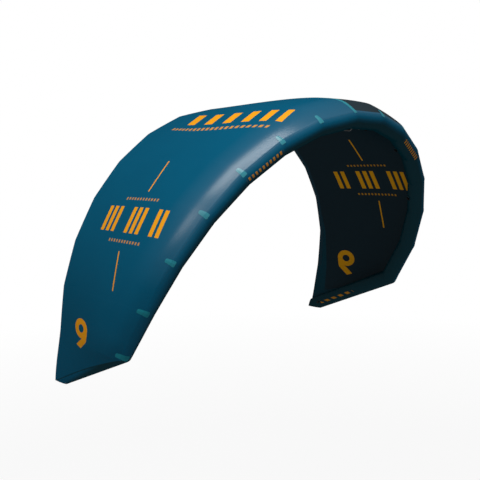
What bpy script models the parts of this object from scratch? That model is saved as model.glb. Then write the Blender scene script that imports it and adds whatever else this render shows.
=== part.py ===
"""Inflatable leading-edge kite with one strut, as it stands in the air: the arch opens downwards.

Metres, +Z up. The origin is on the axis of the leading edge tube, at the middle of the span.
+X runs along the span to the right wingtip, +Y runs back along the chord to the trailing edge.
"""

from math import cos, pi, radians, sin, sqrt

import bmesh
import bpy
from mathutils import Matrix, Vector

# Plan of the kite: counts and angles
segments_per_side = 7
tip_arc_angle = radians(90)
tube_sides = 20
strut_sides = 16
round_steps = 24
small_round_steps = 16

# Arch and leading edge
arc_radius = 1.88
tip_sweep = 0.865
early_sweep_share = 0.8376
early_sweep_power = 1.712
late_sweep_power = 5.92
tube_radius_centre = 0.0855
tube_radius_tip = 0.083
wingtip_tube_end_radius = 0.068
wingtip_tube_end_flat_share = 0.30

# Trailing edge and wingtips
centre_chord = 1.721
trailing_sweep = 0.099
trailing_sweep_power = 4
trailing_inset_centre = 0.0035
trailing_inset_tip = 0.063
trailing_inset_power = 3.23
wingtip_corner_inset = 0.061
wingtip_corner_back = 1.0545
wingtip_corner_drop = 0.508

# Canopy section, seen along the span
canopy_cloth = 0.0015
camber_share = 0.0568
crest_share = 0.1893
seam_angle = radians(36.5)
nose_handle_share = 0.46
crest_front_handle_share = 0.446
crest_rear_handle_share = 0.235
trailing_handle_share = 0.32
trailing_angle = radians(7.5)
front_steps = 7
rear_steps = 6
wingtip_panel_steps = 4
wingtip_tube_steps = 4

# Cloth, film and the gap that touching pieces keep
gap = 0.0003
casing_wall = 0.0015
bladder_wall = 0.001
bladder_end_gap = 0.004
cut_overrun = 0.004

# Strut under the middle of the canopy
strut_radius_front = 0.058
strut_radius_rear = 0.034
strut_rise_share = 0.46
strut_rise_handle_share = 0.34
strut_front_steps = 6
strut_end_dome = 0.012
strut_end_dome_share = 0.7
strut_end_inset = 0.062
strut_web_cloth = 0.002
strut_web_front_share = 0.35
strut_bladder_front_inset = 0.006

# Bands and tapes
trailing_band_width = 0.045
trailing_band_cloth = 0.0012
seam_tape_half_width = 0.018
seam_tape_cloth = 0.001

# Inflation valve, on the first right-hand leading edge segment
valve_segment_share = 0.50
valve_angle = radians(138)
valve_neck_radius = 0.020
valve_neck_depth = 0.0125
valve_lip_radius = 0.031
valve_lip_height = 0.004
valve_lip_skirt = 0.0075
valve_bore_radius = 0.0155
insert_rim_radius = 0.0185
insert_rim_height = 0.0022
insert_bore_radius = 0.0115
insert_depth = 0.0100
flap_radius = 0.0140
flap_thickness = 0.0012
cap_wall = 0.0020
cap_top = 0.0018
cap_strap_width = 0.010
cap_strap_thickness = 0.0018
cap_bead_radius = 0.0022
running_clearance = 0.0003

# Inflation hose between leading edge and strut, with its pinch clip
leading_fitting_share = 0.07
strut_fitting_y = 0.225
hose_below_tube = 0.016
flange_radius = 0.012
flange_thickness = 0.002
fitting_stub_radius = 0.0062
fitting_bore_radius = 0.0030
fitting_barb_radius = 0.0050
fitting_barb_length = 0.028
fitting_inside_length = 0.010
elbow_reach = 0.009
elbow_steps = 4
hose_radius = 0.0085
hose_pinch_length = 0.050
hose_pinch_half_height = 0.0040
hose_pinch_half_width = 0.0112
hose_pinch_slit_half_height = 0.0007
hose_pinch_slit_half_width = 0.0078
hose_pinch_share = 0.5
clip_width = 0.012
clip_jaw_thickness = 0.0030
clip_post_thickness = 0.0030
clip_post_gap = 0.0010
clip_pin_radius = 0.0014
clip_barrel_wall = 0.0014
clip_ear_width = 0.0024
clip_lever_tab = 0.009

# Access zip under the straight rear part of the strut
zip_front_share = 0.50
zip_rear_share = 0.86
zip_half_angle = radians(17)
zip_tape_cloth = 0.0012
slider_length = 0.016
slider_width = 0.009
slider_height = 0.0032
bail_bar_radius = 0.0009
bail_drop = 0.0040
bail_post = 0.0016
pull_length = 0.034
pull_width = 0.0060
pull_thickness = 0.0014
pull_eye_radius = 0.0030
pull_eye_clearance = 0.0005

# Webbing loops that the lines and the pump leash tie to
webbing_width = 0.022
webbing_thickness = 0.0028
loop_slot_length = 0.018
loop_slot_depth = 0.017
loop_foot_length = 0.060
loop_foot_skirt = 0.004
front_loop_segments = (3, 5)
front_loop_share = 0.5
front_loop_angle = radians(152)
rear_loop_share = 0.86
rear_loop_angle = radians(180)
leash_loop_share = 0.82
leash_loop_angle = radians(150)


def clear_scene():
    for obj in list(bpy.data.objects):
        bpy.data.objects.remove(obj, do_unlink=True)


# Materials

finishes = {
    "blue_ripstop": ((0.010, 0.085, 0.140, 1), 0.45, 0),
    "black_ripstop": ((0.018, 0.020, 0.028, 1), 0.50, 0),
    "blue_dacron": ((0.012, 0.100, 0.165, 1), 0.35, 0),
    "teal_dacron": ((0.030, 0.330, 0.400, 1), 0.45, 0),
    "clear_film": ((0.700, 0.740, 0.760, 1), 0.25, 0),
    "black_webbing": ((0.015, 0.015, 0.018, 1), 0.80, 0),
    "grey_plastic": ((0.300, 0.310, 0.330, 1), 0.40, 0),
    "black_plastic": ((0.020, 0.020, 0.022, 1), 0.40, 0),
    "orange_plastic": ((0.800, 0.330, 0.020, 1), 0.40, 0),
    "black_rubber": ((0.020, 0.020, 0.020, 1), 0.70, 0),
    "zinc": ((0.550, 0.560, 0.580, 1), 0.30, 1),
}


def material(name):
    """The Principled material of one finish, made the first time that it is asked for."""
    found = bpy.data.materials.get(name)
    if found:
        return found
    colour, roughness, metallic = finishes[name]
    made = bpy.data.materials.new(name)
    made.use_nodes = True
    shader = made.node_tree.nodes["Principled BSDF"]
    shader.inputs["Base Color"].default_value = colour
    shader.inputs["Roughness"].default_value = roughness
    shader.inputs["Metallic"].default_value = metallic
    return made


# Meshes from points

def new_object(name, points, faces, finish, smooth=True):
    """A mesh object of these points and faces, closed, with its faces pointing out."""
    mesh = bpy.data.meshes.new(name)
    mesh.from_pydata([tuple(point) for point in points], [], faces)
    work = bmesh.new()
    work.from_mesh(mesh)
    bmesh.ops.remove_doubles(work, verts=work.verts, dist=gap / 100)
    bmesh.ops.recalc_face_normals(work, faces=work.faces)
    work.to_mesh(mesh)
    work.free()
    if smooth:
        mesh.shade_smooth()
        mesh.set_sharp_from_angle(angle=radians(35))
    obj = bpy.data.objects.new(name, mesh)
    bpy.context.scene.collection.objects.link(obj)
    if finish:
        mesh.materials.append(material(finish))
    return obj


def hide(obj):
    """Marks a cutter or a guide, which is no piece of the kite."""
    obj.hide_render = True
    obj.display_type = "WIRE"
    return obj


def combine(obj, other, operation):
    modifier = obj.modifiers.new(operation.lower(), "BOOLEAN")
    modifier.operation = operation
    modifier.solver = "EXACT"
    modifier.object = other


def cut(obj, *cutters):
    for cutter in cutters:
        combine(obj, cutter, "DIFFERENCE")


def join(obj, *others):
    for other in others:
        combine(obj, hide(other), "UNION")


def strip_faces(rows, columns, start, flip):
    """Triangles over a grid of points, always split along the same diagonal."""
    faces = []
    for row in range(rows - 1):
        for column in range(columns - 1):
            a = start + row * columns + column
            b = a + 1
            c = a + columns
            d = c + 1
            pair = [(a, b, d), (a, d, c)]
            faces += [face[::-1] for face in pair] if flip else pair
    return faces


def sheet_solid(name, outer, inner, finish):
    """A thin closed solid between two grids of points that are the same in rows and columns."""
    rows, columns = len(outer), len(outer[0])
    points = [point for row in outer for point in row] + [point for row in inner for point in row]
    shift = rows * columns
    faces = strip_faces(rows, columns, 0, False) + strip_faces(rows, columns, shift, True)
    border = [column for column in range(columns)]
    border += [row * columns + columns - 1 for row in range(1, rows)]
    border += [(rows - 1) * columns + column for column in range(columns - 2, -1, -1)]
    border += [row * columns for row in range(rows - 2, 0, -1)]
    for here, there in zip(border, border[1:] + border[:1]):
        faces += [(here, here + shift, there + shift), (here, there + shift, there)]
    return new_object(name, points, faces, finish)


def loft_faces(rings, sides, start, flip):
    """Triangles round a row of rings."""
    faces = []
    for ring in range(rings - 1):
        for side in range(sides):
            a = start + ring * sides + side
            b = start + ring * sides + (side + 1) % sides
            c = a + sides
            d = b + sides
            pair = [(a, b, d), (a, d, c)]
            faces += [face[::-1] for face in pair] if flip else pair
    return faces


def open_tube(name, outer, inner, finish):
    """A pipe with open ends, from its outer and its inner rings."""
    sides = len(outer[0])
    points = [point for ring in outer for point in ring] + [point for ring in inner for point in ring]
    shift = len(outer) * sides
    faces = loft_faces(len(outer), sides, 0, False) + loft_faces(len(inner), sides, shift, True)
    ends = ((0, shift), (shift - sides, len(points) - sides))
    for outer_start, inner_start in ends:
        for side in range(sides):
            following = (side + 1) % sides
            a, b = outer_start + side, outer_start + following
            c, d = inner_start + following, inner_start + side
            faces += [(a, b, c), (a, c, d)]
    return new_object(name, points, faces, finish)


def ring_centre(ring):
    """Half way between two opposite points, which lie on the fold where a ring is folded."""
    return (ring[0] + ring[len(ring) // 2]) / 2


def closed_skin(rings, start, flip, caps):
    """Points and faces of a lofted skin, with a fan over each end that caps names."""
    sides = len(rings[0])
    points = [point for ring in rings for point in ring]
    faces = loft_faces(len(rings), sides, start, flip)
    for ring in caps:
        centre = start + len(points)
        points.append(ring_centre(rings[ring]))
        first = start + (ring % len(rings)) * sides
        for side in range(sides):
            faces.append((first + side, first + (side + 1) % sides, centre))
    return points, faces


def closed_tube(name, outer, inner, finish):
    """A bag: a skin with both ends closed, round a room that is cut from it. A hole is cut in it later."""
    bag = solid_tube(name, outer, finish)
    cut(bag, hide(solid_tube(name + "_room", inner, None)))
    return bag


def end_closed_tube(name, outer, inner, finish, closed=-1):
    """A sleeve that is open at one end and closed at the ring that closed names, 0 or -1."""
    sides = len(outer[0])
    points, faces = closed_skin(outer, 0, False, (closed,))
    shift = len(points)
    inner_points, inner_faces = closed_skin(inner, shift, True, (closed,))
    faces += inner_faces
    start = 0 if closed else (len(outer) - 1) * sides
    for side in range(sides):
        a, b = start + side, start + (side + 1) % sides
        faces += [(a, b, b + shift), (a, b + shift, a + shift)]
    return new_object(name, points + inner_points, faces, finish)


def solid_tube(name, rings, finish):
    points, faces = closed_skin(rings, 0, False, (0, -1))
    return new_object(name, points, faces, finish)


def turned(name, outline, finish, steps=round_steps):
    """A solid of revolution about local Z, from a closed outline of (radius, height)."""
    rings = [[Vector((radius * cos(2 * pi * step / steps), radius * sin(2 * pi * step / steps), height))
              for radius, height in outline] for step in range(steps)]
    count = len(outline)
    points = [point for ring in rings for point in ring]
    faces = []
    for step in range(steps):
        following = (step + 1) % steps
        for corner in range(count):
            after = (corner + 1) % count
            if outline[corner][0] == 0 and outline[after][0] == 0:
                continue
            a = step * count + corner
            b = step * count + after
            c = following * count + after
            d = following * count + corner
            if outline[corner][0] == 0:
                faces.append((a, b, c))
            elif outline[after][0] == 0:
                faces.append((a, b, d))
            else:
                faces += [(a, b, c), (a, c, d)]
    return new_object(name, points, faces, finish)


def rod(name, start, end, radius, finish=None, steps=small_round_steps):
    """A straight round bar between two points, in the frame that its object gets."""
    along = (end - start).normalized()
    across = along.orthogonal().normalized()
    up = along.cross(across)
    angles = [2 * pi * (step + 1 / 2) / steps for step in range(steps)]
    rings = [[centre + radius * (across * cos(angle) + up * sin(angle)) for angle in angles]
             for centre in (start, end)]
    return solid_tube(name, rings, finish)


def box(name, low, high, finish=None):
    """A plain block between two corners."""
    points = [Vector((x, y, z)) for x in (low[0], high[0]) for y in (low[1], high[1]) for z in (low[2], high[2])]
    faces = [(0, 1, 3, 2), (4, 6, 7, 5), (0, 4, 5, 1), (2, 3, 7, 6), (0, 2, 6, 4), (1, 5, 7, 3)]
    return new_object(name, points, faces, finish, smooth=False)


def frame_matrix(origin, x_axis, y_axis, z_axis):
    turn = Matrix((x_axis, y_axis, z_axis)).transposed().to_4x4()
    return Matrix.Translation(origin) @ turn


def place(obj, matrix):
    obj.matrix_world = matrix
    return obj


# Tubes that turn a corner at each station

class Tube:
    """A tube along a row of points. Its rings stand in the planes that halve the corners."""

    def __init__(self, path, radii, outwards, sides, flats=None):
        self.path, self.radii, self.sides = path, radii, sides
        self.flats = flats or [1] * len(path)
        runs = [(b - a).normalized() for a, b in zip(path, path[1:])]
        self.runs = runs
        before = runs[:1] + runs
        after = runs + runs[-1:]
        self.along = [(a + b).normalized() for a, b in zip(before, after)]
        self.bends = [b - a for a, b in zip(before, after)]
        self.out = []
        self.back = []
        for along, outward in zip(self.along, outwards):
            out = (outward - along * outward.dot(along)).normalized()
            self.out.append(out)
            self.back.append(out.cross(along))

    def offset(self, station, grow, angle):
        """From the axis to the surface, at an angle from the outward side towards the trailing edge."""
        radius = self.radii[station]
        arm = (radius * self.flats[station] + grow) * cos(angle) * self.out[station]
        arm += (radius + grow) * sin(angle) * self.back[station]
        bend = self.bends[station]
        if bend.length > gap:
            half_cosine = sqrt(1 - (bend.length / 2) ** 2)
            side = bend.normalized()
            arm += side * arm.dot(side) * (1 / half_cosine - 1)
        return arm

    def point(self, station, grow, angle):
        return self.path[station] + self.offset(station, grow, angle)

    def ring(self, station, grow, shift=0.0):
        """The tube's ring at one station, grown by a length and moved along the axis by another."""
        move = self.along[station] * shift
        return [self.point(station, grow, 2 * pi * side / self.sides) + move for side in range(self.sides)]

    def surface(self, station, share, angle, grow=0.0):
        """A frame on the tube between two stations: its point, the way along, the way round and the way out.

        Where the tube is flattened, the way out is square to its skin, and not in line with its axis.
        """
        here = self.point(station, grow, angle)
        there = self.point(station + 1, grow, angle)
        axis = self.path[station].lerp(self.path[station + 1], share)
        point = here.lerp(there, share)
        along = self.runs[station]
        out = point - axis
        if self.flats[station] != self.flats[station + 1]:
            quarter = angle + pi / 2
            along = (there - here).normalized()
            out = along.cross(self.offset(station, grow, quarter).lerp(self.offset(station + 1, grow, quarter), share))
        out = (out - along * out.dot(along)).normalized()
        return point, along, out.cross(along), out


# Stations: 0 at the middle, segments_per_side at the wingtip

def arc_angle(station):
    return tip_arc_angle * station / segments_per_side


def outward(side, station):
    angle = arc_angle(min(station, segments_per_side))
    return Vector((side * sin(angle), 0, cos(angle)))


def leading_axis(side, station):
    reach = station / segments_per_side
    early = early_sweep_share * reach ** early_sweep_power
    late = (1 - early_sweep_share) * reach ** late_sweep_power
    angle = arc_angle(station)
    return Vector((side * arc_radius * sin(angle), tip_sweep * (early + late), arc_radius * (cos(angle) - 1)))


def trailing_point(side, station):
    reach = station / segments_per_side
    radius = arc_radius - trailing_inset_centre - trailing_inset_tip * reach ** trailing_inset_power
    angle = arc_angle(station)
    back = centre_chord + trailing_sweep * reach ** trailing_sweep_power
    return Vector((side * radius * sin(angle), back, radius * cos(angle) - arc_radius))


def wingtip_corner(side):
    """The lowest corner of the canopy, where its wingtip edge meets the trailing edge."""
    across = side * (arc_radius - wingtip_corner_inset)
    return Vector((across, tip_sweep + wingtip_corner_back, -arc_radius - wingtip_corner_drop))


def tube_radius(station):
    return tube_radius_centre + (tube_radius_tip - tube_radius_centre) * station / segments_per_side


def wingtip_tube_end(side):
    """The end of the tube's axis, which lies inside the canopy's corner by half the flattened tube's thickness."""
    return wingtip_corner(side) - Vector((side * wingtip_tube_end_radius * wingtip_tube_end_flat_share, 0, 0))


def make_leading_tube():
    left = [wingtip_tube_end(-1)] + [leading_axis(-1, k) for k in range(segments_per_side, 0, -1)]
    right = [leading_axis(1, k) for k in range(segments_per_side + 1)] + [wingtip_tube_end(1)]
    half = [tube_radius(k) for k in range(segments_per_side + 1)] + [wingtip_tube_end_radius]
    stations = range(segments_per_side + 1, 0, -1)
    outwards = [outward(-1, k) for k in stations] + [outward(1, k) for k in range(segments_per_side + 2)]
    round_side = [1] * segments_per_side
    flats = [wingtip_tube_end_flat_share] + round_side + [1] + round_side + [wingtip_tube_end_flat_share]
    return Tube(left + right, half[:0:-1] + half, outwards, tube_sides, flats)


leading_tube = make_leading_tube()


def tube_station(side, station):
    """The place of a side's station in the row that runs from wingtip to wingtip."""
    return segments_per_side + 1 + side * station


# Canopy section

def bezier(start, first, second, end, share):
    rest = 1 - share
    return (start * rest ** 3 + first * 3 * rest ** 2 * share + second * 3 * rest * share ** 2 + end * share ** 3)


def bezier_slope(start, first, second, end, share):
    rest = 1 - share
    return ((first - start) * rest ** 2 + (second - first) * 2 * rest * share + (end - second) * share ** 2)


def section_curves(chord, radius):
    """The two curves of a canopy section: seam to crest, and crest to trailing edge, as (back, out)."""
    seam = Vector((-radius * sin(seam_angle), radius * cos(seam_angle)))
    crest = Vector((crest_share * chord, radius * (1 - crest_share) + camber_share * chord))
    end = Vector((chord, 0))
    rise = crest.x - seam.x
    fall = end.x - crest.x
    nose_handle = seam + nose_handle_share * rise * Vector((cos(seam_angle), sin(seam_angle)))
    front_handle = crest - Vector((crest_front_handle_share * rise, 0))
    rear_handle = crest + Vector((crest_rear_handle_share * fall, 0))
    end_handle = end + trailing_handle_share * fall * Vector((-cos(trailing_angle), sin(trailing_angle)))
    return (seam, nose_handle, front_handle, crest), (crest, rear_handle, end_handle, end)


def section_points(chord, radius):
    """(back, out) and the normal at each step of the section. The last step is the trailing band's width."""
    front, rear = section_curves(chord, radius)
    end_speed = 3 * (rear[3] - rear[2]).length
    band_start = 1 - trailing_band_width / end_speed
    shares = [(front, step / front_steps) for step in range(front_steps)]
    shares += [(rear, band_start * step / rear_steps) for step in range(rear_steps + 1)] + [(rear, 1)]
    found = []
    for curve, share in shares:
        slope = bezier_slope(*curve, share).normalized()
        found.append((bezier(*curve, share), Vector((-slope.y, slope.x))))
    return found


def section(side, station, lift):
    """The canopy's section at a station, lifted off its inner face by a length, as points in space."""
    axis = leading_axis(side, station)
    trailing = trailing_point(side, station)
    chord = (trailing - axis).length
    back = (trailing - axis).normalized()
    out = outward(side, station)
    radius = tube_radius(station) + gap
    seam_share = lift + gap
    seam = leading_tube.point(tube_station(side, station), seam_share, -seam_angle)
    points = []
    for place_2d, normal in section_points(chord, radius):
        here = place_2d + normal * lift
        points.append(axis + back * here.x + out * here.y)
    slip = seam - points[0]
    reach = crest_share * chord
    for index, (place_2d, _) in enumerate(section_points(chord, radius)):
        left = max(0, 1 - (place_2d.x + radius * sin(seam_angle)) / reach)
        points[index] = points[index] + slip * left ** 2
    return points


def pull_in(rows):
    """Takes half a gap off each side of a panel, so that two panels leave one gap at their seam."""
    first, last = rows[0], rows[-1]
    start = [a + (b - a).normalized() * gap / 2 if (b - a).length > gap else a for a, b in zip(first, rows[1])]
    end = [b + (a - b).normalized() * gap / 2 if (b - a).length > gap else b for a, b in zip(rows[-2], last)]
    return [start] + rows[1:-1] + [end]


def canopy_panel(side, station):
    hand = "left" if side < 0 else "right"
    outer = pull_in([section(side, k, canopy_cloth) for k in (station, station + 1)])
    inner = pull_in([section(side, k, 0) for k in (station, station + 1)])
    finish = "blue_ripstop" if side < 0 else "black_ripstop"
    return sheet_solid(f"canopy_panel_{hand}_{station + 1}", outer, inner, finish)


def wingtip_panel(side):
    """The panel between the last section and the wingtip tube, which it meets along the tube's outer side."""
    hand = "left" if side < 0 else "right"
    last = tube_station(side, segments_per_side)
    end = tube_station(side, segments_per_side + 1)
    grids = []
    for lift in (canopy_cloth, 0):
        top = section(side, segments_per_side, lift)
        start = top[0]
        length = (top[-1] - start).length
        columns = []
        for index, point in enumerate(top):
            share = (point - start).length / length
            angle = -seam_angle * (1 - share) ** 2
            reach = share if side > 0 else 1 - share
            foot, _, _, normal = leading_tube.surface(min(last, end), reach, angle, lift + gap)
            span = point - foot
            lead = foot + (span - normal * span.dot(normal)) / 3
            trail = point - span / 3
            columns.append([bezier(foot, lead, trail, point, step / wingtip_panel_steps)
                            for step in range(wingtip_panel_steps + 1)])
        rows = [[column[step] for column in columns] for step in range(wingtip_panel_steps, -1, -1)]
        grids.append(pull_in(rows + [rows[-1]])[:-1])
    finish = "blue_ripstop" if side < 0 else "black_ripstop"
    return sheet_solid(f"wingtip_panel_{hand}", grids[0], grids[1], finish)


def trailing_band(side):
    """The doubled hem under the trailing edge, from the middle to the last section."""
    hand = "left" if side < 0 else "right"
    outer = pull_in([section(side, k, -gap)[-2:] for k in range(segments_per_side + 1)])
    inner = pull_in([section(side, k, -gap - trailing_band_cloth)[-2:] for k in range(segments_per_side + 1)])
    return sheet_solid(f"trailing_edge_band_{hand}", outer, inner, "teal_dacron")


def centre_seam_tape():
    """The teal tape over the middle seam. It is folded like a low roof, as the two panels meet."""
    fold = tip_arc_angle / segments_per_side / 2
    drop = seam_tape_half_width * sin(fold) / cos(fold)
    grids = []
    for lift in (gap + canopy_cloth + seam_tape_cloth, gap + canopy_cloth):
        ridge = section(1, 0, lift)
        across = Vector((seam_tape_half_width, 0, 0))
        down = Vector((0, 0, drop))
        grids.append([[point - across - down for point in ridge], ridge, [point + across - down for point in ridge]])
    return sheet_solid("centre_seam_tape", grids[0], grids[1], "teal_dacron")


# Leading edge

def casing_segment(side, station):
    """One tapered piece of the casing. Its rings run from left to right, as in the guide that cuts its fittings."""
    hand = "left" if side < 0 else "right"
    first, last = sorted((tube_station(side, station), tube_station(side, station + 1)))
    skins = [[leading_tube.ring(first, grow, gap / 2), leading_tube.ring(last, grow, -gap / 2)]
             for grow in (0, -casing_wall)]
    return open_tube(f"leading_edge_{hand}_{station + 1}", skins[0], skins[1], "blue_dacron")


def shrunk(ring, share, move):
    """A ring drawn in towards its own centre and moved, for a rounded end."""
    centre = ring_centre(ring)
    return [centre + (point - centre) * share + move for point in ring]


def wingtip_end_ring(side, grow, inset):
    """The ring where the wingtip tube is cut off: level with the canopy's corner, and in line with its rear edge."""
    start = leading_tube.ring(tube_station(side, segments_per_side), grow)
    end = leading_tube.ring(tube_station(side, segments_per_side + 1), grow)
    corner = wingtip_corner(side)
    edge = trailing_point(side, segments_per_side) - corner
    down = Vector((0, 0, -1))
    rear = Vector((0, edge.z, -edge.y)).normalized()
    points = []
    for a, b in zip(start, end):
        run = b - a
        reach = min(((corner - a).dot(way) - inset) / run.dot(way) for way in (down, rear))
        points.append(a + run * reach)
    return points


def wingtip_rings(side, grow, inset, shift=0.0):
    """The rings of the wingtip tube from the last station to its end."""
    start = leading_tube.ring(tube_station(side, segments_per_side), grow, shift)
    end = wingtip_end_ring(side, grow, inset)
    shares = [step / wingtip_tube_steps for step in range(wingtip_tube_steps + 1)]
    return [[a.lerp(b, share) for a, b in zip(start, end)] for share in shares]


def wingtip_tube(side):
    hand = "left" if side < 0 else "right"
    skins = [wingtip_rings(side, grow, -grow, side * gap / 2)[::side] for grow in (0, -casing_wall)]
    return end_closed_tube(f"wingtip_tube_{hand}", skins[0], skins[1], "blue_dacron", -1 if side > 0 else 0)


def leading_bladder():
    """The one bladder that fills the leading edge from wingtip to wingtip."""
    skins = []
    for grow in (-casing_wall - gap, -casing_wall - gap - bladder_wall):
        end_gap = bladder_end_gap - grow
        rings = [leading_tube.ring(station, grow) for station in range(2, len(leading_tube.path) - 2)]
        skins.append(wingtip_rings(-1, grow, end_gap)[::-1] + rings + wingtip_rings(1, grow, end_gap))
    return closed_tube("leading_edge_bladder", skins[0], skins[1], "clear_film")


def leading_clearance():
    """A guide: the leading edge grown by the gap. What sits on the tube is cut with it."""
    middle = [leading_tube.ring(station, gap) for station in range(2, len(leading_tube.path) - 2)]
    rings = wingtip_rings(-1, gap, -gap)[::-1] + middle + wingtip_rings(1, gap, -gap)
    return hide(solid_tube("leading_edge_clearance", rings, None))


# Strut

def canopy_underside(distance):
    """Height of the canopy's inner face over the middle of the kite, by linear steps between its points."""
    points = section(1, 0, 0)
    for a, b in zip(points, points[1:]):
        if a.y <= distance <= b.y:
            return a.z + (b.z - a.z) * (distance - a.y) / (b.y - a.y)
    return points[-1].z


def make_strut_tube():
    """The strut rises from behind the leading edge, then lies straight along the canopy's underside."""
    fold_cosine = cos(tip_arc_angle / segments_per_side / 2)
    end_y = centre_chord - strut_end_inset
    joint_y = strut_rise_share * centre_chord

    def radius_at(distance):
        return strut_radius_front + (strut_radius_rear - strut_radius_front) * distance / end_y

    def hung_height(distance):
        return canopy_underside(distance) - (radius_at(distance) + 2 * gap) / fold_cosine

    joint = Vector((0, joint_y, hung_height(joint_y)))
    end = Vector((0, end_y, hung_height(end_y)))
    rear_way = (end - joint).normalized()
    start = Vector((0, 0, 0))
    handle = strut_rise_handle_share * joint_y
    curve = (start, start + Vector((0, handle, 0)), joint - rear_way * handle, joint)
    path = [bezier(*curve, step / strut_front_steps) for step in range(strut_front_steps + 1)] + [end]
    radii = [radius_at(point.y) for point in path]
    return Tube(path, radii, [Vector((0, 0, 1))] * len(path), strut_sides)


strut_tube = make_strut_tube()
strut_last = len(strut_tube.path) - 1
strut_joint = strut_last - 1


def strut_rings(grow, dome):
    """The strut's rings from its first whole one to its drawn-in end."""
    last = strut_tube.ring(strut_last, grow)
    rings = [strut_tube.ring(station, grow) for station in range(strut_last)]
    return rings + [last, shrunk(last, strut_end_dome_share, strut_tube.along[-1] * dome)]


def strut_casing(leading_cutter, hole):
    outer = strut_rings(0, strut_end_dome)
    inner = strut_rings(-casing_wall, strut_end_dome - casing_wall)
    obj = end_closed_tube("strut_casing", outer, inner, "blue_dacron")
    cut(obj, leading_cutter, hole)
    return obj


def strut_bladder(hole):
    """The strut's own bladder, which ends short of the leading edge."""
    start_y = tube_radius_centre + gap + strut_bladder_front_inset
    skins = []
    for grow in (-casing_wall - gap, -casing_wall - gap - bladder_wall):
        end_gap = bladder_end_gap - grow
        share = start_y / strut_tube.path[1].y
        first = strut_tube.ring(0, grow)
        second = strut_tube.ring(1, grow)
        nearer = [a.lerp(b, share) + (b - a).normalized() * (-grow) for a, b in zip(first, second)]
        rings = [nearer] + [strut_tube.ring(station, grow) for station in range(1, strut_last)]
        rings.append(strut_tube.ring(strut_last, grow, -end_gap))
        skins.append(rings)
    obj = closed_tube("strut_bladder", skins[0], skins[1], "clear_film")
    cut(obj, hole)
    return obj


def strut_clearance():
    rings = [strut_tube.ring(station, gap) for station in range(strut_last + 1)]
    last = rings[-1]
    rings.append([point + strut_tube.along[-1] * strut_end_dome for point in last])
    return hide(solid_tube("strut_clearance", rings, None))


def strut_web(leading_cutter, strut_cutter):
    """The upright cloth web that ties the canopy to the strut ahead of where they touch."""
    joint_y = strut_tube.path[strut_joint].y
    start_y = tube_radius_centre * strut_web_front_share
    top = [point for point in section(1, 0, -gap) if start_y < point.y < joint_y]
    bottom = [strut_tube.path[station] for station in range(strut_joint, -1, -1)]
    outline = top + [point for point in bottom if point.y < top[-1].y]
    half = Vector((strut_web_cloth / 2, 0, 0))
    count = len(outline)
    points = [point - half for point in outline] + [point + half for point in outline]
    faces = [tuple(range(count)), tuple(range(2 * count - 1, count - 1, -1))]
    faces += [(a, (a + 1) % count, (a + 1) % count + count, a + count) for a in range(count)]
    obj = new_object("strut_canopy_web", points, faces, "blue_ripstop", smooth=False)
    cut(obj, leading_cutter, strut_cutter)
    return obj


# Inflation valve

def valve_frame():
    """Local Z points out of the tube, local X along it to the right."""
    station = tube_station(1, 0)
    point, along, around, out = leading_tube.surface(station, valve_segment_share, valve_angle)
    return frame_matrix(point, along, out.cross(along), out)


def valve_hole(matrix):
    ends = Vector((0, 0, -valve_neck_depth - cut_overrun)), Vector((0, 0, valve_lip_height))
    hole = rod("valve_hole", ends[0], ends[1], valve_neck_radius + gap, steps=round_steps)
    return hide(place(hole, matrix))


def valve_base(matrix, leading_cutter):
    """The lip lies on the casing, and the neck goes through it into the bladder."""
    lip = turned("valve_base", [(0, -valve_lip_skirt), (valve_lip_radius, -valve_lip_skirt),
                                (valve_lip_radius, valve_lip_height), (0, valve_lip_height)], "grey_plastic")
    place(lip, matrix)
    cut(lip, leading_cutter)
    neck_ends = Vector((0, 0, -valve_neck_depth)), Vector((0, 0, valve_lip_height / 2))
    neck = rod("valve_neck", neck_ends[0], neck_ends[1], valve_neck_radius, steps=round_steps)
    join(lip, place(neck, matrix))
    bore_ends = Vector((0, 0, -valve_neck_depth - cut_overrun)), Vector((0, 0, valve_lip_height + cut_overrun))
    bore = rod("valve_bore", bore_ends[0], bore_ends[1], valve_bore_radius, steps=round_steps)
    cut(lip, hide(place(bore, matrix)))
    return lip


def valve_insert(matrix):
    """The check valve's body, which turns in the base's bore."""
    seat = valve_lip_height + gap
    body = valve_bore_radius - running_clearance
    outline = [(insert_bore_radius, -insert_depth), (body, -insert_depth), (body, seat),
               (insert_rim_radius, seat), (insert_rim_radius, seat + insert_rim_height),
               (insert_bore_radius, seat + insert_rim_height)]
    return place(turned("valve_insert", outline, "black_plastic"), matrix)


def valve_flap(matrix):
    """The one-way flap under the insert. Its origin is on its hinge, at the disc's edge."""
    top = flap_thickness / 2
    flap = turned("valve_flap", [(0, -top), (flap_radius, -top), (flap_radius, top), (0, top)], "black_rubber")
    flap.data.transform(Matrix.Translation((flap_radius, 0, 0)))
    hinge = Vector((-flap_radius, 0, -insert_depth - gap - top))
    return place(flap, matrix @ Matrix.Translation(hinge))


def valve_cap(matrix):
    """The snap cap with its strap. Its origin is on the strap's bead, which lies beside the lip."""
    low = valve_lip_height + gap
    under = low + insert_rim_height + gap
    inside = insert_rim_radius + gap
    outside = inside + cap_wall
    hinge = Vector((valve_lip_radius + gap + cap_bead_radius, 0, low))
    outline = [(0, under), (inside, under), (inside, low), (outside, low), (outside, under + cap_top),
               (0, under + cap_top)]
    cap = turned("valve_cap", outline, "orange_plastic")
    half = cap_strap_width / 2
    strap_start = (inside + outside) / 2
    strap = box("cap_strap", (strap_start, -half, low), (hinge.x, half, low + cap_strap_thickness))
    bead = rod("cap_bead", Vector((hinge.x, -half, low)), Vector((hinge.x, half, low)), cap_bead_radius)
    for piece in (cap, strap, bead):
        piece.data.transform(Matrix.Translation(-hinge))
        place(piece, matrix @ Matrix.Translation(hinge))
    join(cap, strap, bead)
    return cap


# Inflation hose, its fittings and its clip

hose_z = -tube_radius_centre - hose_below_tube


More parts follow.
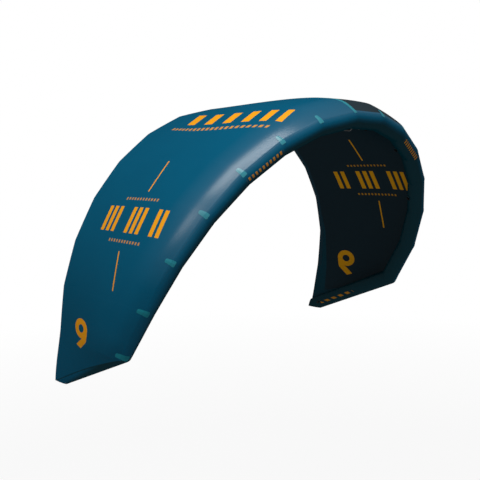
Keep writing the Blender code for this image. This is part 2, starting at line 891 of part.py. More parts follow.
class Fitting:
    """Where an elbow stands: on the axis of its tube, square to the tube, down to the height of the hose."""

    def __init__(self, tube, station, share, across):
        start, end = tube.path[station], tube.path[station + 1]
        self.axis = start.lerp(end, share)
        self.radius = tube.radii[station] + (tube.radii[station + 1] - tube.radii[station]) * share
        self.along = (end - start).normalized()
        drop = self.axis.z - hose_z
        if across is None:
            slant = Vector((drop * self.along.z / self.along.x, 0, -drop))
        else:
            back = (drop * self.along.z - across * self.along.x) / self.along.y
            slant = Vector((across, back, -drop))
        self.corner = self.axis + slant
        self.down = slant.normalized()

    def hole(self, name):
        start = self.axis + self.down * (self.radius - fitting_inside_length - cut_overrun)
        end = self.axis + self.down * (self.radius + cut_overrun)
        return hide(rod(name, start, end, fitting_stub_radius + gap))

    def elbow(self, name, way):
        """A stub through the casing, a flange that follows the tube, a bend and a barb for the hose."""
        level = Vector((0, way, 0))
        side = self.down.cross(level).normalized()
        angles = [2 * pi * step / small_round_steps for step in range(small_round_steps)]

        def ring(centre, forward, size):
            up = side.cross(forward)
            return [centre + size * (side * cos(angle) + up * sin(angle)) for angle in angles]

        def saddle(size, lift):
            points = ring(self.axis, self.down, size)
            found = []
            for point in points:
                arm = point - self.axis
                arm -= self.along * arm.dot(self.along)
                height = sqrt((self.radius + gap) ** 2 - arm.length_squared)
                found.append(point + self.down * (height + lift))
            return found

        inside = self.axis + self.down * (self.radius - fitting_inside_length)
        before = self.corner - self.down * elbow_reach
        after = self.corner + level * elbow_reach
        bend = []
        for step in range(elbow_steps + 1):
            share = step / elbow_steps
            centre = before * (1 - share) ** 2 + self.corner * 2 * share * (1 - share) + after * share ** 2
            forward = (self.down * (1 - share) + level * share).normalized()
            bend.append((centre, forward))
        end = after + level * fitting_barb_length
        outer = [ring(inside, self.down, fitting_stub_radius), saddle(fitting_stub_radius, 0),
                 saddle(flange_radius, 0), saddle(flange_radius, flange_thickness),
                 saddle(fitting_stub_radius, flange_thickness)]
        outer += [ring(centre, forward, fitting_stub_radius) for centre, forward in bend]
        outer += [ring(after, level, fitting_barb_radius), ring(end, level, fitting_barb_radius)]
        inner = [ring(inside, self.down, fitting_bore_radius)]
        inner += [ring(centre, forward, fitting_bore_radius) for centre, forward in bend]
        inner.append(ring(end, level, fitting_bore_radius))
        return open_tube(name, outer, inner, "grey_plastic")


def strut_place(distance):
    """The strut's station ahead of a distance along Y, and the share of the way to the next one."""
    station = max(k for k in range(strut_last) if strut_tube.path[k].y < distance)
    run = strut_tube.path[station + 1].y - strut_tube.path[station].y
    return station, (distance - strut_tube.path[station].y) / run


leading_fitting = Fitting(leading_tube, tube_station(1, 0), leading_fitting_share, None)
hose_x = leading_fitting.corner.x
strut_fitting = Fitting(strut_tube, *strut_place(strut_fitting_y), hose_x)
hose_start = leading_fitting.corner.y + elbow_reach + gap
hose_end = strut_fitting.corner.y - elbow_reach - gap
hose_middle = (hose_start + hose_end) / 2


def hose_ring(y, half_width, half_height):
    return [Vector((hose_x + half_width * cos(2 * pi * step / small_round_steps), y,
                    hose_z + half_height * sin(2 * pi * step / small_round_steps)))
            for step in range(small_round_steps)]


def inflation_hose():
    """A soft hose pushed over both barbs, and pinched shut at its middle by the clip."""
    bore = fitting_barb_radius + gap
    middle = hose_middle
    half_pinch = hose_pinch_length / 2
    half_flat = clip_width / 2
    ease = (half_pinch + half_flat) / 2
    places = [(hose_start, 0), (middle - half_pinch, 0), (middle - ease, hose_pinch_share), (middle - half_flat, 1),
              (middle + half_flat, 1), (middle + ease, hose_pinch_share), (middle + half_pinch, 0),
              (hose_end, 0)]
    outer = []
    inner = []
    for y, pinch in places:
        wide = hose_radius + (hose_pinch_half_width - hose_radius) * pinch
        high = hose_radius + (hose_pinch_half_height - hose_radius) * pinch
        outer.append(hose_ring(y, wide, high))
        slit_wide = bore + (hose_pinch_slit_half_width - bore) * pinch
        slit_high = bore + (hose_pinch_slit_half_height - bore) * pinch
        inner.append(hose_ring(y, slit_wide, slit_high))
    return open_tube("inflation_hose", outer, inner, "black_rubber")


def clip_places():
    """The clip's sizes: half the room for the hose, the hinge's place and the jaws' heights."""
    half_room = hose_pinch_half_width + clip_post_gap
    barrel = clip_pin_radius + running_clearance + clip_barrel_wall
    jaw = hose_pinch_half_height + gap
    hinge = Vector((hose_x - half_room - barrel, hose_middle, hose_z - jaw - clip_jaw_thickness / 2))
    return half_room, barrel, jaw, hinge


def clip_body():
    """The upper jaw, with two hinge ears on one side and a post on the other."""
    half_room, barrel, jaw, hinge = clip_places()
    half = clip_width / 2
    top = hose_z + jaw + clip_jaw_thickness
    middle_of_jaw = top - clip_jaw_thickness / 2
    outer_left = hinge.x - barrel
    outer_right = hose_x + half_room + clip_post_thickness
    jaw_plate = box("hose_clip_body", (outer_left, hose_middle - half, hose_z + jaw),
                    (outer_right, hose_middle + half, top), "black_plastic")
    ears = []
    for name, low, high in (("clip_ear_front", -half, -half + clip_ear_width),
                            ("clip_ear_back", half - clip_ear_width, half)):
        ears.append(box(name, (outer_left, hose_middle + low, hinge.z - barrel),
                        (hinge.x + barrel, hose_middle + high, middle_of_jaw)))
    post = box("clip_latch_post", (outer_right - clip_post_thickness, hose_middle - half, hose_z - jaw + gap),
               (outer_right, hose_middle + half, middle_of_jaw))
    inset = clip_ear_width / 2
    pin = rod("clip_pin", Vector((hinge.x, hose_middle - half + inset, hinge.z)),
              Vector((hinge.x, hose_middle + half - inset, hinge.z)), clip_pin_radius)
    join(jaw_plate, *ears, post, pin)
    return jaw_plate


def clip_lever():
    """The lower jaw with its finger tab, which reaches past the post. Its origin is on the hinge pin."""
    half_room, barrel, jaw, hinge = clip_places()
    half_inside = clip_width / 2 - clip_ear_width - gap
    top = hose_z - jaw
    right = hose_x + half_room + clip_post_thickness + clip_lever_tab
    plate = box("hose_clip_lever", (hinge.x, hose_middle - half_inside, top - clip_jaw_thickness),
                (right, hose_middle + half_inside, top), "orange_plastic")
    round_part = rod("lever_barrel", Vector((hinge.x, hose_middle - half_inside, hinge.z)),
                     Vector((hinge.x, hose_middle + half_inside, hinge.z)), barrel - gap)
    eye = rod("lever_eye", Vector((hinge.x, hose_middle - clip_width, hinge.z)),
              Vector((hinge.x, hose_middle + clip_width, hinge.z)), clip_pin_radius + running_clearance)
    for piece in (plate, round_part, eye):
        piece.data.transform(Matrix.Translation(-hinge))
        place(piece, Matrix.Translation(hinge))
    join(plate, round_part)
    cut(plate, hide(eye))
    return plate


# Access zip

def zip_share_point(share, angle, grow):
    """A point on the strut's straight rear part, by its share of the chord."""
    joint, end = strut_tube.path[strut_joint], strut_tube.path[strut_last]
    along = (share * centre_chord - joint.y) / (end.y - joint.y)
    here = strut_tube.point(strut_joint, grow, angle)
    there = strut_tube.point(strut_last, grow, angle)
    return here.lerp(there, along)


def zip_tape():
    """Two woven tapes with their closed coil, as one curved strip on the strut's underside."""
    steps = 4
    grids = []
    for grow in (gap + zip_tape_cloth, gap):
        rows = []
        for share in (zip_front_share, zip_rear_share):
            angles = [pi + zip_half_angle * (2 * step / steps - 1) for step in range(steps + 1)]
            rows.append([zip_share_point(share, angle, grow) for angle in angles])
        grids.append(rows)
    return sheet_solid("strut_zip_tape", grids[0], grids[1], "black_webbing")


def zip_frame():
    """At the closed end of the zip: local X across, local Y forward along the tape, local Z down."""
    grow = gap + zip_tape_cloth + gap
    rear = zip_share_point(zip_rear_share, pi, grow)
    front = zip_share_point(zip_front_share, pi, grow)
    way = (front - rear).normalized()
    across = Vector((1, 0, 0))
    down = across.cross(way)
    if down.z > 0:
        across, down = -across, -down
    origin = rear + way * slider_length
    return frame_matrix(origin, across, way, down)


def zip_slider(matrix):
    half_length, half_width = slider_length / 2, slider_width / 2
    slider = box("strut_zip_slider", (-half_width, -half_length, 0), (half_width, half_length, slider_height), "zinc")
    bar_height = slider_height + bail_drop
    post_y = bail_bar_radius + gap
    posts = []
    for name, side in (("bail_post_left", -1), ("bail_post_right", 1)):
        inner = side * (half_width - bail_post)
        outer = side * half_width
        posts.append(box(name, (min(inner, outer), -post_y, slider_height / 2),
                         (max(inner, outer), post_y, bar_height + post_y)))
    bar = rod("bail_bar", Vector((-half_width + bail_post / 2, 0, bar_height)),
              Vector((half_width - bail_post / 2, 0, bar_height)), bail_bar_radius)
    pieces = [slider, *posts, bar]
    for piece in pieces:
        place(piece, matrix)
    join(slider, *posts, bar)
    return slider


def zip_pull(matrix):
    """The pull tab hangs straight down from the bail. Its origin is on the bail's bar."""
    bar = matrix @ Vector((0, 0, slider_height + bail_drop))
    half = pull_width / 2 - bail_post / 2
    eye_outer = rod("strut_zip_pull", Vector((-half, 0, 0)), Vector((half, 0, 0)), pull_eye_radius, "zinc")
    blade = box("pull_blade", (-half, -pull_thickness / 2, -pull_length), (half, pull_thickness / 2, 0))
    hole_end = Vector((pull_width, 0, 0))
    hole = rod("pull_hole", -hole_end, hole_end, bail_bar_radius + pull_eye_clearance)
    for piece in (eye_outer, blade, hole):
        place(piece, Matrix.Translation(bar))
    join(eye_outer, blade)
    cut(eye_outer, hide(hole))
    return eye_outer


# Webbing loops

def webbing_loop(name, station, share, angle, leading_cutter):
    """A sewn loop: a foot along the tube and a flat eye that a line is tied through."""
    point, along, around, out = leading_tube.surface(station, share, angle)
    matrix = frame_matrix(point, along, out.cross(along), out)
    half_width = webbing_width / 2
    foot = box(name, (-loop_foot_length / 2, -half_width, -loop_foot_skirt),
               (loop_foot_length / 2, half_width, webbing_thickness), "black_webbing")
    half_eye = loop_slot_length / 2 + webbing_thickness
    eye_top = webbing_thickness + loop_slot_depth + webbing_thickness
    eye = box(name + "_eye", (-half_eye, -half_width, 0), (half_eye, half_width, eye_top))
    slot = box(name + "_slot", (-loop_slot_length / 2, -webbing_width, webbing_thickness),
               (loop_slot_length / 2, webbing_width, webbing_thickness + loop_slot_depth))
    for piece in (foot, eye, slot):
        place(piece, matrix)
    join(foot, eye)
    cut(foot, hide(slot), leading_cutter)
    return foot


def segment_start(side, segment):
    """The lower of a segment's two stations in the row from wingtip to wingtip."""
    return tube_station(side, segment - 1) if side > 0 else tube_station(side, segment)


def webbing_loops(leading_cutter):
    for side, hand in ((-1, "left"), (1, "right")):
        for number, segment in enumerate(front_loop_segments):
            station = segment_start(side, segment)
            webbing_loop(f"front_line_loop_{hand}_{number + 1}", station, front_loop_share, front_loop_angle,
                         leading_cutter)
        tip = segment_start(side, segments_per_side + 1)
        share = rear_loop_share if side > 0 else 1 - rear_loop_share
        webbing_loop(f"rear_line_loop_{hand}", tip, share, rear_loop_angle, leading_cutter)
    webbing_loop("pump_leash_loop", tube_station(1, 0), leash_loop_share, leash_loop_angle, leading_cutter)


# The whole kite

def build():
    clear_scene()
    leading_cutter = leading_clearance()
    strut_cutter = strut_clearance()
    valve = valve_frame()
    hole = valve_hole(valve)
    leading_hole = leading_fitting.hole("leading_fitting_hole")
    strut_hole = strut_fitting.hole("strut_fitting_hole")

    for side in (-1, 1):
        for station in range(segments_per_side):
            canopy_panel(side, station)
            segment = casing_segment(side, station)
            if side > 0 and station == 0:
                cut(segment, hole, leading_hole)
        wingtip_panel(side)
        wingtip_tube(side)
        trailing_band(side)
    cut(leading_bladder(), hole, leading_hole)
    centre_seam_tape()

    strut_casing(leading_cutter, strut_hole)
    strut_bladder(strut_hole)
    strut_web(leading_cutter, strut_cutter)

    valve_base(valve, leading_cutter)
    valve_insert(valve)
    valve_flap(valve)
    valve_cap(valve)

    leading_fitting.elbow("hose_fitting_leading_edge", 1)
    strut_fitting.elbow("hose_fitting_strut", -1)
    inflation_hose()
    clip_body()
    clip_lever()

    zip_tape()
    zip_matrix = zip_frame()
    zip_slider(zip_matrix)
    zip_pull(zip_matrix)

    webbing_loops(leading_cutter)


build()
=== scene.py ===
# %% [markdown]
# # An inflatable kite, dressed over its CAD frame
#
# A kite of this kind is cloth held in shape by air. A fat tube, the leading edge, gives the arch its
# curve, one thinner tube, the strut, holds the middle of the cloth out behind it, and the canopy is
# stretched between them and the trailing edge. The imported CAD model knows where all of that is, but
# its cloth is made of plain flat-sided solids. This notebook loads the CAD as a fixed frame and puts
# finely curved cloth, sewn tapes and real finishes over it.

from math import cos, pi, radians, sin, sqrt

import bmesh
import bpy
from mathutils import Matrix, Vector


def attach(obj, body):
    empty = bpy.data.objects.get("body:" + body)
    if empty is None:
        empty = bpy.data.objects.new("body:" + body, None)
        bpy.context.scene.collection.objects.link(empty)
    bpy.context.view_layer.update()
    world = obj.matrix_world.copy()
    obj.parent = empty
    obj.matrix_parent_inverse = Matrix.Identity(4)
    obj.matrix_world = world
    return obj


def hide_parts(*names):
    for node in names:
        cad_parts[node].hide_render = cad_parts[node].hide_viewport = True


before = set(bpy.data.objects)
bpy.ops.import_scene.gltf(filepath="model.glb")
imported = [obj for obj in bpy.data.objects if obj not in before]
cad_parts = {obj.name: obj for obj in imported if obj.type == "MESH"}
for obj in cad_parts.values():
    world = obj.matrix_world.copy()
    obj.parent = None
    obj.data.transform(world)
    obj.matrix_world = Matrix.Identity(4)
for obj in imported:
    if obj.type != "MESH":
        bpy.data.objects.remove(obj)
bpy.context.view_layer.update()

# %% [markdown]
# ## The kite's own measures
#
# Cloth pieces follow curves that the CAD used, so the same few numbers are needed here: how far the
# arch reaches, how the leading edge sweeps back, and the shape of one chordwise section. Stations
# count the sewn joints of the leading edge: 0 is the middle, 7 the wingtip, and 8 the end of the
# short tube along the wingtip. A formula takes any station, also one between two joints, and that
# gives the smooth surface that the light follows.

# %% Sizes in metres
SEGMENTS = 7
ARC = radians(90)
ARC_RADIUS = 1.88
TIP_SWEEP = 0.865
EARLY_SHARE, EARLY_POWER, LATE_POWER = 0.8376, 1.712, 5.92
TUBE_CENTRE, TUBE_TIP = 0.0855, 0.083
TUBE_END, TUBE_END_FLAT = 0.068, 0.30
CHORD = 1.721
TRAILING_SWEEP, TRAILING_POWER = 0.099, 4
INSET_CENTRE, INSET_TIP, INSET_POWER = 0.0035, 0.063, 3.23
CORNER_INSET, CORNER_BACK, CORNER_DROP = 0.061, 1.0545, 0.508
CAMBER, CREST = 0.0568, 0.1893
SEAM_ANGLE = radians(36.5)
TRAILING_ANGLE = radians(7.5)
NOSE_HANDLE, CREST_FRONT_HANDLE, CREST_REAR_HANDLE, TRAILING_HANDLE = 0.46, 0.446, 0.235, 0.32
GAP = 0.0003
CLOTH, CLOTH_DEPTH = 0.0015, 0.0011
PANEL = ARC_RADIUS * ARC / SEGMENTS
HANDS = ((-1, "left"), (1, "right"))
print("panel width at the leading edge:", round(PANEL, 3), "m")


# %% Points of the arch
def outward(side, station):
    angle = ARC * min(station, SEGMENTS) / SEGMENTS
    return Vector((side * sin(angle), 0, cos(angle)))


def leading_axis(side, station):
    reach = station / SEGMENTS
    sweep = EARLY_SHARE * reach ** EARLY_POWER + (1 - EARLY_SHARE) * reach ** LATE_POWER
    angle = ARC * reach
    return Vector((side * ARC_RADIUS * sin(angle), TIP_SWEEP * sweep, ARC_RADIUS * (cos(angle) - 1)))


def trailing_point(side, station):
    reach = station / SEGMENTS
    radius = ARC_RADIUS - INSET_CENTRE - INSET_TIP * reach ** INSET_POWER
    angle = ARC * reach
    back = CHORD + TRAILING_SWEEP * reach ** TRAILING_POWER
    return Vector((side * radius * sin(angle), back, radius * cos(angle) - ARC_RADIUS))


def wingtip_corner(side):
    return Vector((side * (ARC_RADIUS - CORNER_INSET), TIP_SWEEP + CORNER_BACK, -ARC_RADIUS - CORNER_DROP))


def tip_tube_end(side):
    """The tube is flattened towards the wingtip corner, so its axis ends close inside it."""
    return wingtip_corner(side) - Vector((side * TUBE_END * TUBE_END_FLAT, 0, 0))


def tube_radius(station):
    return TUBE_CENTRE + (TUBE_TIP - TUBE_CENTRE) * station / SEGMENTS


print("wingtip corner:", [round(c, 3) for c in wingtip_corner(1)])

# %% [markdown]
# ## One section of the canopy
#
# Seen along the span, the cloth leaves the tube at a seam on its upper front, rises to a crest about
# a fifth of the way back, and then runs nearly straight to the trailing edge. Two Bezier curves
# describe it with very few numbers, and their slopes give the direction in which thickness is added.

# %% The section curve
FRONT_STEPS, REAR_STEPS = 14, 22


def bezier(a, b, c, d, t):
    u = 1 - t
    return a * u ** 3 + b * 3 * u * u * t + c * 3 * u * t * t + d * t ** 3


def bezier_slope(a, b, c, d, t):
    u = 1 - t
    return (b - a) * u * u + (c - b) * 2 * u * t + (d - c) * t * t


def section_points(chord, radius):
    """(back, out), the normal and the cloth length from the seam, for each step of the section."""
    seam = Vector((-radius * sin(SEAM_ANGLE), radius * cos(SEAM_ANGLE)))
    crest = Vector((CREST * chord, radius * (1 - CREST) + CAMBER * chord))
    end = Vector((chord, 0))
    rise, fall = crest.x - seam.x, end.x - crest.x
    front = (seam, seam + NOSE_HANDLE * rise * Vector((cos(SEAM_ANGLE), sin(SEAM_ANGLE))),
             crest - Vector((CREST_FRONT_HANDLE * rise, 0)), crest)
    rear = (crest, crest + Vector((CREST_REAR_HANDLE * fall, 0)),
            end + TRAILING_HANDLE * fall * Vector((-cos(TRAILING_ANGLE), sin(TRAILING_ANGLE))), end)
    shares = [(front, step / FRONT_STEPS) for step in range(FRONT_STEPS)]
    shares += [(rear, step / REAR_STEPS) for step in range(REAR_STEPS + 1)]
    found, length, last = [], 0, None
    for curve, t in shares:
        point = bezier(*curve, t)
        slope = bezier_slope(*curve, t).normalized()
        length += (point - last).length if last else 0
        last = point
        found.append((point, Vector((-slope.y, slope.x)), length))
    return found


def unsewn_section(side, station, lift):
    """The section's points in space, each with the share of the way from the crest back to the seam."""
    axis = leading_axis(side, station)
    chord_line = trailing_point(side, station) - axis
    back = chord_line.normalized()
    out = outward(side, station)
    radius = tube_radius(station) + GAP
    found = section_points(chord_line.length, radius)
    start, crest = radius * sin(SEAM_ANGLE), CREST * chord_line.length
    left = [max(0, 1 - (p.x + start) / crest) for p, _, _ in found]
    lifted = [p + n * lift for p, n, _ in found]
    return [axis + back * p.x + out * p.y for p in lifted], left


def seam_slip(side, joint, lift):
    """At a joint the tube's ring is slanted, and the section's front is drawn to it."""
    seam = leading.joint_point(MIDDLE + side * joint, lift + GAP, -SEAM_ANGLE)
    return seam - unsewn_section(side, joint, lift)[0][0]


def section(side, station, lift):
    """Points of the canopy's section at any station up to the wingtip, lifted off the tube by a length."""
    points, left = unsewn_section(side, station, lift)
    joint = min(int(station), SEGMENTS - 1)
    slip = seam_slip(side, joint, lift).lerp(seam_slip(side, joint + 1, lift), station - joint)
    return [point + slip * share ** 2 for point, share in zip(points, left)]


def section_lengths(station):
    chord = (trailing_point(1, station) - leading_axis(1, station)).length
    return [length for _, _, length in section_points(chord, tube_radius(station) + GAP)]


print("cloth length of the middle section:", round(section_lengths(0)[-1], 3), "m")

# %% [markdown]
# ## The leading edge as a tube that turns a corner at each joint
#
# The maker sews straight tapered tubes together at slight angles. At each joint both tubes meet in
# the plane that halves the corner, so a ring there is stretched a little into an ellipse. The class
# below gives a point of that tube for a station, an angle round it and a growth of its radius.


# %% The bent tube
class Tube:
    def __init__(self, path, radii, outwards, flats=None):
        self.path, self.radii, self.flats = path, radii, flats or [1] * len(path)
        self.runs = [(b - a).normalized() for a, b in zip(path, path[1:])]
        before, after = self.runs[:1] + self.runs, self.runs + self.runs[-1:]
        self.along = [(a + b).normalized() for a, b in zip(before, after)]
        self.bends = [b - a for a, b in zip(before, after)]
        self.out = [(o - a * o.dot(a)).normalized() for a, o in zip(self.along, outwards)]
        self.back = [o.cross(a) for a, o in zip(self.along, self.out)]

    def arm(self, joint, grow, angle):
        radius = self.radii[joint]
        arm = (radius * self.flats[joint] + grow) * cos(angle) * self.out[joint]
        arm += (radius + grow) * sin(angle) * self.back[joint]
        bend = self.bends[joint]
        if bend.length > GAP:
            side = bend.normalized()
            arm += side * arm.dot(side) * (1 / sqrt(1 - (bend.length / 2) ** 2) - 1)
        return arm

    def joint_point(self, joint, grow, angle):
        return self.path[joint] + self.arm(joint, grow, angle)

    def point(self, place, grow, angle):
        joint = min(int(place), len(self.runs) - 1)
        share = place - joint
        return self.joint_point(joint, grow, angle).lerp(self.joint_point(joint + 1, grow, angle), share)

    def surface(self, place, angle, grow=0.0, joint=None):
        """A frame on the tube: the point, the way along, the way round and the way out."""
        joint = min(int(place), len(self.runs) - 1) if joint is None else joint
        here, there = self.joint_point(joint, grow, angle), self.joint_point(joint + 1, grow, angle)
        along = (there - here).normalized()
        quarter = angle + pi / 2
        turning = self.arm(joint, grow, quarter).lerp(self.arm(joint + 1, grow, quarter), place - joint)
        out = along.cross(turning).normalized()
        return here.lerp(there, place - joint), along, out.cross(along), out


def make_leading_tube():
    joints = range(SEGMENTS, 0, -1)
    left = [tip_tube_end(-1)] + [leading_axis(-1, k) for k in joints]
    right = [leading_axis(1, k) for k in range(SEGMENTS + 1)] + [tip_tube_end(1)]
    half = [tube_radius(k) for k in range(SEGMENTS + 1)] + [TUBE_END]
    outs = [outward(-1, k) for k in range(SEGMENTS + 1, 0, -1)]
    outs += [outward(1, k) for k in range(SEGMENTS + 2)]
    flats = [TUBE_END_FLAT] + [1] * (2 * SEGMENTS + 1) + [TUBE_END_FLAT]
    return Tube(left + right, half[:0:-1] + half, outs, flats)


def line_length(points):
    return sum((b - a).length for a, b in zip(points, points[1:]))


def round_angles(sides):
    return [2 * pi * side / sides for side in range(sides)]


leading = make_leading_tube()
MIDDLE = SEGMENTS + 1
print("leading edge length:", round(line_length(leading.path), 2), "m")

# %% [markdown]
# ## Camera, light and floor
#
# The kite is in the air, so the floor is well below it. The camera stands a little above the
# wingtips and looks up the arch from the front left, where a long lens keeps the far wingtip nearly
# as large as the near one. One large soft lamp gives the broad shine along the front of the near
# half, a weaker one stands level on the left, and the pale world fills the shade.

# %% Camera
camera = bpy.data.objects.new("camera", bpy.data.cameras.new("camera"))
bpy.context.scene.collection.objects.link(camera)
camera.location = (-6.940, -5.348, 0.695)
camera.rotation_euler = (radians(78.525), 0, radians(-46.132))
camera.data.lens = 75
camera.data.sensor_width = 36
camera.data.clip_end = 200
bpy.context.scene.camera = camera
print("camera at", [round(c, 2) for c in camera.location])


# %% Sockets that can be added and multiplied
def joined(operation, swapped=False):
    """A method that adds a Math node for a signal and another value, in this order or swapped."""
    def method(self, other):
        first, second = (other, self) if swapped else (self, other)
        return self.board.node("Math", {"operation": operation}, {0: first, 1: second})

    return method


class Signal:
    """One output of a shader node. Sums and products with it add the nodes that work them out."""

    def __init__(self, board, socket):
        self.board, self.socket = board, socket

    __add__ = __radd__ = joined("ADD")
    __mul__ = joined("MULTIPLY")
    __sub__, __rsub__ = joined("SUBTRACT"), joined("SUBTRACT", swapped=True)
    __truediv__, __pow__ = joined("DIVIDE"), joined("POWER")
    most = joined("MAXIMUM")

    def __abs__(self):
        return self.board.node("Math", {"operation": "ABSOLUTE"}, {0: self})

    def fraction(self):
        return self.board.node("Math", {"operation": "FRACT"}, {0: self})

    def clamped(self):
        return self.board.node("Clamp", {}, {"Value": self})


class Board:
    """A material, or the world, whose nodes are being wired."""

    def __init__(self, name, kind="materials"):
        self.owner = getattr(bpy.data, kind).new(name)
        self.owner.use_nodes = True
        self.tree = self.owner.node_tree
        self.shader = self.tree.nodes.get("Principled BSDF")

    def node(self, kind, settings=None, inputs=None, out=0):
        made = self.tree.nodes.new("ShaderNode" + kind)
        for key, value in (settings or {}).items():
            setattr(made, key, value)
        for key, value in (inputs or {}).items():
            self.feed(made.inputs[key], value)
        return Signal(self, made.outputs[out])

    def feed(self, socket, value):
        if isinstance(value, Signal):
            self.tree.links.new(value.socket, socket)
        elif socket.type == "RGBA":
            socket.default_value = (*value, 1)
        else:
            socket.default_value = value

    def set(self, **inputs):
        """Values or signals for the Principled shader, with _ for the spaces in a socket's name."""
        for key, value in inputs.items():
            self.feed(self.shader.inputs[key.replace("_", " ")], value)
        return self.owner

    def even_shine(self, weight, roughness):
        """A faint coat that shines alike at every angle, as woven cloth does, and no other gloss."""
        self.set(Specular_IOR_Level=0, Coat_Weight=weight, Coat_Roughness=roughness, Coat_IOR=4)

    def attribute(self, name):
        return self.node("Attribute", {"attribute_name": name}, out="Fac")

    def colour_mix(self, share, first, second):
        return self.node("Mix", {"data_type": "RGBA"}, {0: share, 6: first, 7: second}, out=2)

    def place(self):
        return self.node("TexCoord", out="Object")

    def noise(self, where, scale, detail, roughness=0.5):
        inputs = {"Vector": where, "Scale": scale, "Detail": detail, "Roughness": roughness}
        return self.node("TexNoise", {}, inputs)

    def bump(self, height, distance, strength):
        return self.node("Bump", {}, {"Height": height, "Distance": distance, "Strength": strength})

    def seen(self):
        """1 for a ray from the camera, a mirror or glass, which shows the background itself."""
        rays = [self.node("LightPath", out=f"Is {kind} Ray") for kind in ("Camera", "Glossy", "Transmission")]
        return rays[0].most(rays[1]).most(rays[2])


def band(value, low, high, soft):
    """1 where a value lies between two limits, with soft edges."""
    return ((value - low) / soft + 0.5).clamped() * ((high - value) / soft + 0.5).clamped()


print("node helpers ready")

# %% Lamps, world and floor
FLOOR, FLOOR_RADIUS = -5.6, 60
SHADE_LIGHT = 0.20
NEAR_GLOW, GLOW_FROM, GLOW_OVER = 0.92, 9, 6


def soft_lamp(name, place, aim, size, power):
    lamp = bpy.data.lights.new(name, "AREA")
    lamp.shape, lamp.size, lamp.size_y = "RECTANGLE", size[0], size[1]
    lamp.energy = power
    obj = bpy.data.objects.new(name, lamp)
    bpy.context.scene.collection.objects.link(obj)
    back = (Vector(place) - Vector(aim)).normalized()
    side = (Vector((1, 0, 0)) - back * back.x).normalized()
    obj.location = place
    obj.rotation_euler = Matrix((side, back.cross(side), back)).transposed().to_euler()


soft_lamp("main_softbox", (-2.9, -1.1, 6.7), (-0.8, 0.3, -0.3), (7.4, 2.4), 615)
soft_lamp("side_softbox", (-7.2, -0.4, 2.9), (-1.5, 0.3, -0.2), (2.2, 2.2), 92)

sky = Board("pale_studio", "worlds")
background = sky.tree.nodes["Background"].inputs
sky.feed(background["Color"], (1, 1, 1))
sky.feed(background["Strength"], sky.seen() * (1 - SHADE_LIGHT) + SHADE_LIGHT)
bpy.context.scene.world = sky.owner

ground = Board("studio_floor")
ground.set(Base_Color=(0.6, 0.6, 0.6), Roughness=0.9)
away = ground.node("VectorMath", {"operation": "LENGTH"}, {0: ground.place()}, out="Value")
glow = ground.node("Emission", {}, {"Color": (1, 1, 1), "Strength": 1.0})
cover = ground.seen() * (NEAR_GLOW + ((away - GLOW_FROM) / GLOW_OVER).clamped() * (1 - NEAR_GLOW))
cover = ground.node("MixShader", {}, {0: cover, 1: Signal(ground, ground.shader.outputs[0]), 2: glow})
ground.feed(ground.tree.nodes["Material Output"].inputs["Surface"], cover)

floor_mesh = bpy.data.meshes.new("studio_floor")
rim = [(FLOOR_RADIUS * cos(angle), FLOOR_RADIUS * sin(angle), FLOOR) for angle in round_angles(64)]
floor_mesh.from_pydata(rim, [], [tuple(range(64))])
floor_mesh.materials.append(ground.owner)
floor_object = bpy.data.objects.new("studio_floor", floor_mesh)
bpy.context.scene.collection.objects.link(floor_object)
bpy.context.scene.view_settings.view_transform = "Standard"
print("studio ready")


# %% [markdown]
# ## Cloth finishes
#
# Canopy cloth is ripstop: a thin plain weave with a thicker thread every few millimetres, coated so
# that it shines softly. The leading edge is a heavier cloth with a tighter look. Both are made from
# numbers that the mesh carries at each point: the station, the place along the chord and the place
# along Y. Bands and shapes between limits of these numbers make the print, the seams and the hems,
# and also painted shade on the leading edge's underside and painted highlights in the coat.

# %% Ripstop with its print
ORANGE = (0.82, 0.33, 0.008)
TUBE_BLUE, TUBE_SHADE = (0.0008, 0.086, 0.160), (0.0006, 0.070, 0.134)
# UNDER_TEAL and UNDER_SHADE colour the strut and the web. UNDER_TEAL is also painted shade on the leading
# edge's underside and on the canopy along the wingtip tube.
UNDER_TEAL, UNDER_SHADE = (0.0008, 0.034, 0.049), (0.0006, 0.026, 0.036)
BORDER_BLUE = (0.001, 0.042, 0.065)
MIDDLE_LINE = 0.9675
EDGE = 0.004
RULE = 0.0075


def ripstop(board, span, chord, cell=0.006):
    """A grid of thicker threads, 1 on a thread and 0 between."""
    across = abs((span / cell).fraction() - 0.5)
    along = abs((chord / cell).fraction() - 0.5)
    return (band(across, 0.0, 0.08, 0.06) + band(along, 0.0, 0.08, 0.06)).clamped()


def brighter(colour, times, more=0.0):
    return tuple(min(1, c * times + more) for c in colour)


def woven(board, where, colour, shade, thread, cloud=3.0, grain=260.0, cloud_share=0.7, light=(0.12, 1.5)):
    """The mottled colour of cloth with lighter threads, and the slow and the fast noise in it."""
    cloudy, fine = board.noise(where, cloud, 3.0), board.noise(where, grain, 2.0)
    base = board.colour_mix((cloudy * cloud_share + fine * (1 - cloud_share)).clamped(), colour, shade)
    return board.colour_mix(thread * light[0], base, brighter(colour, light[1])), cloudy, fine


def figure_nine(up, on, centre, size):
    """The plain size number: a heavy oval ring, and a straight tail that slants down from its far side."""
    u = (up - centre[0]) / size[0]
    b = (on - centre[1]) / size[1]
    oval = (((u - 0.17) / 0.31) ** 2 + (b / 0.44) ** 2) ** 0.5
    beside = b * 0.567 - u * 0.824
    rounded = (((u - 0.17) / 0.82) ** 2 + (b / 0.44) ** 2) ** 0.5
    tail = band(beside, 0.165, 0.385, 0.02) * band(u + b * 0.26, -0.50, 0.2, 0.02)
    tail = tail * band(rounded, -1.0, 1.0, 0.04) * band(u, -1.0, 0.17, 0.02)
    return band(oval, 0.42, 1.0, 0.05).most(tail)


PRINT_PLACES = {-1: dict(upper=0.949, lower=0.978, slant=0.16, nine=(-1.812, -0.42), size=(0.27, 0.27)),
                1: dict(upper=0.975, lower=0.971, slant=-0.02, nine=(-1.815, 0.50), size=(0.295, 0.225))}


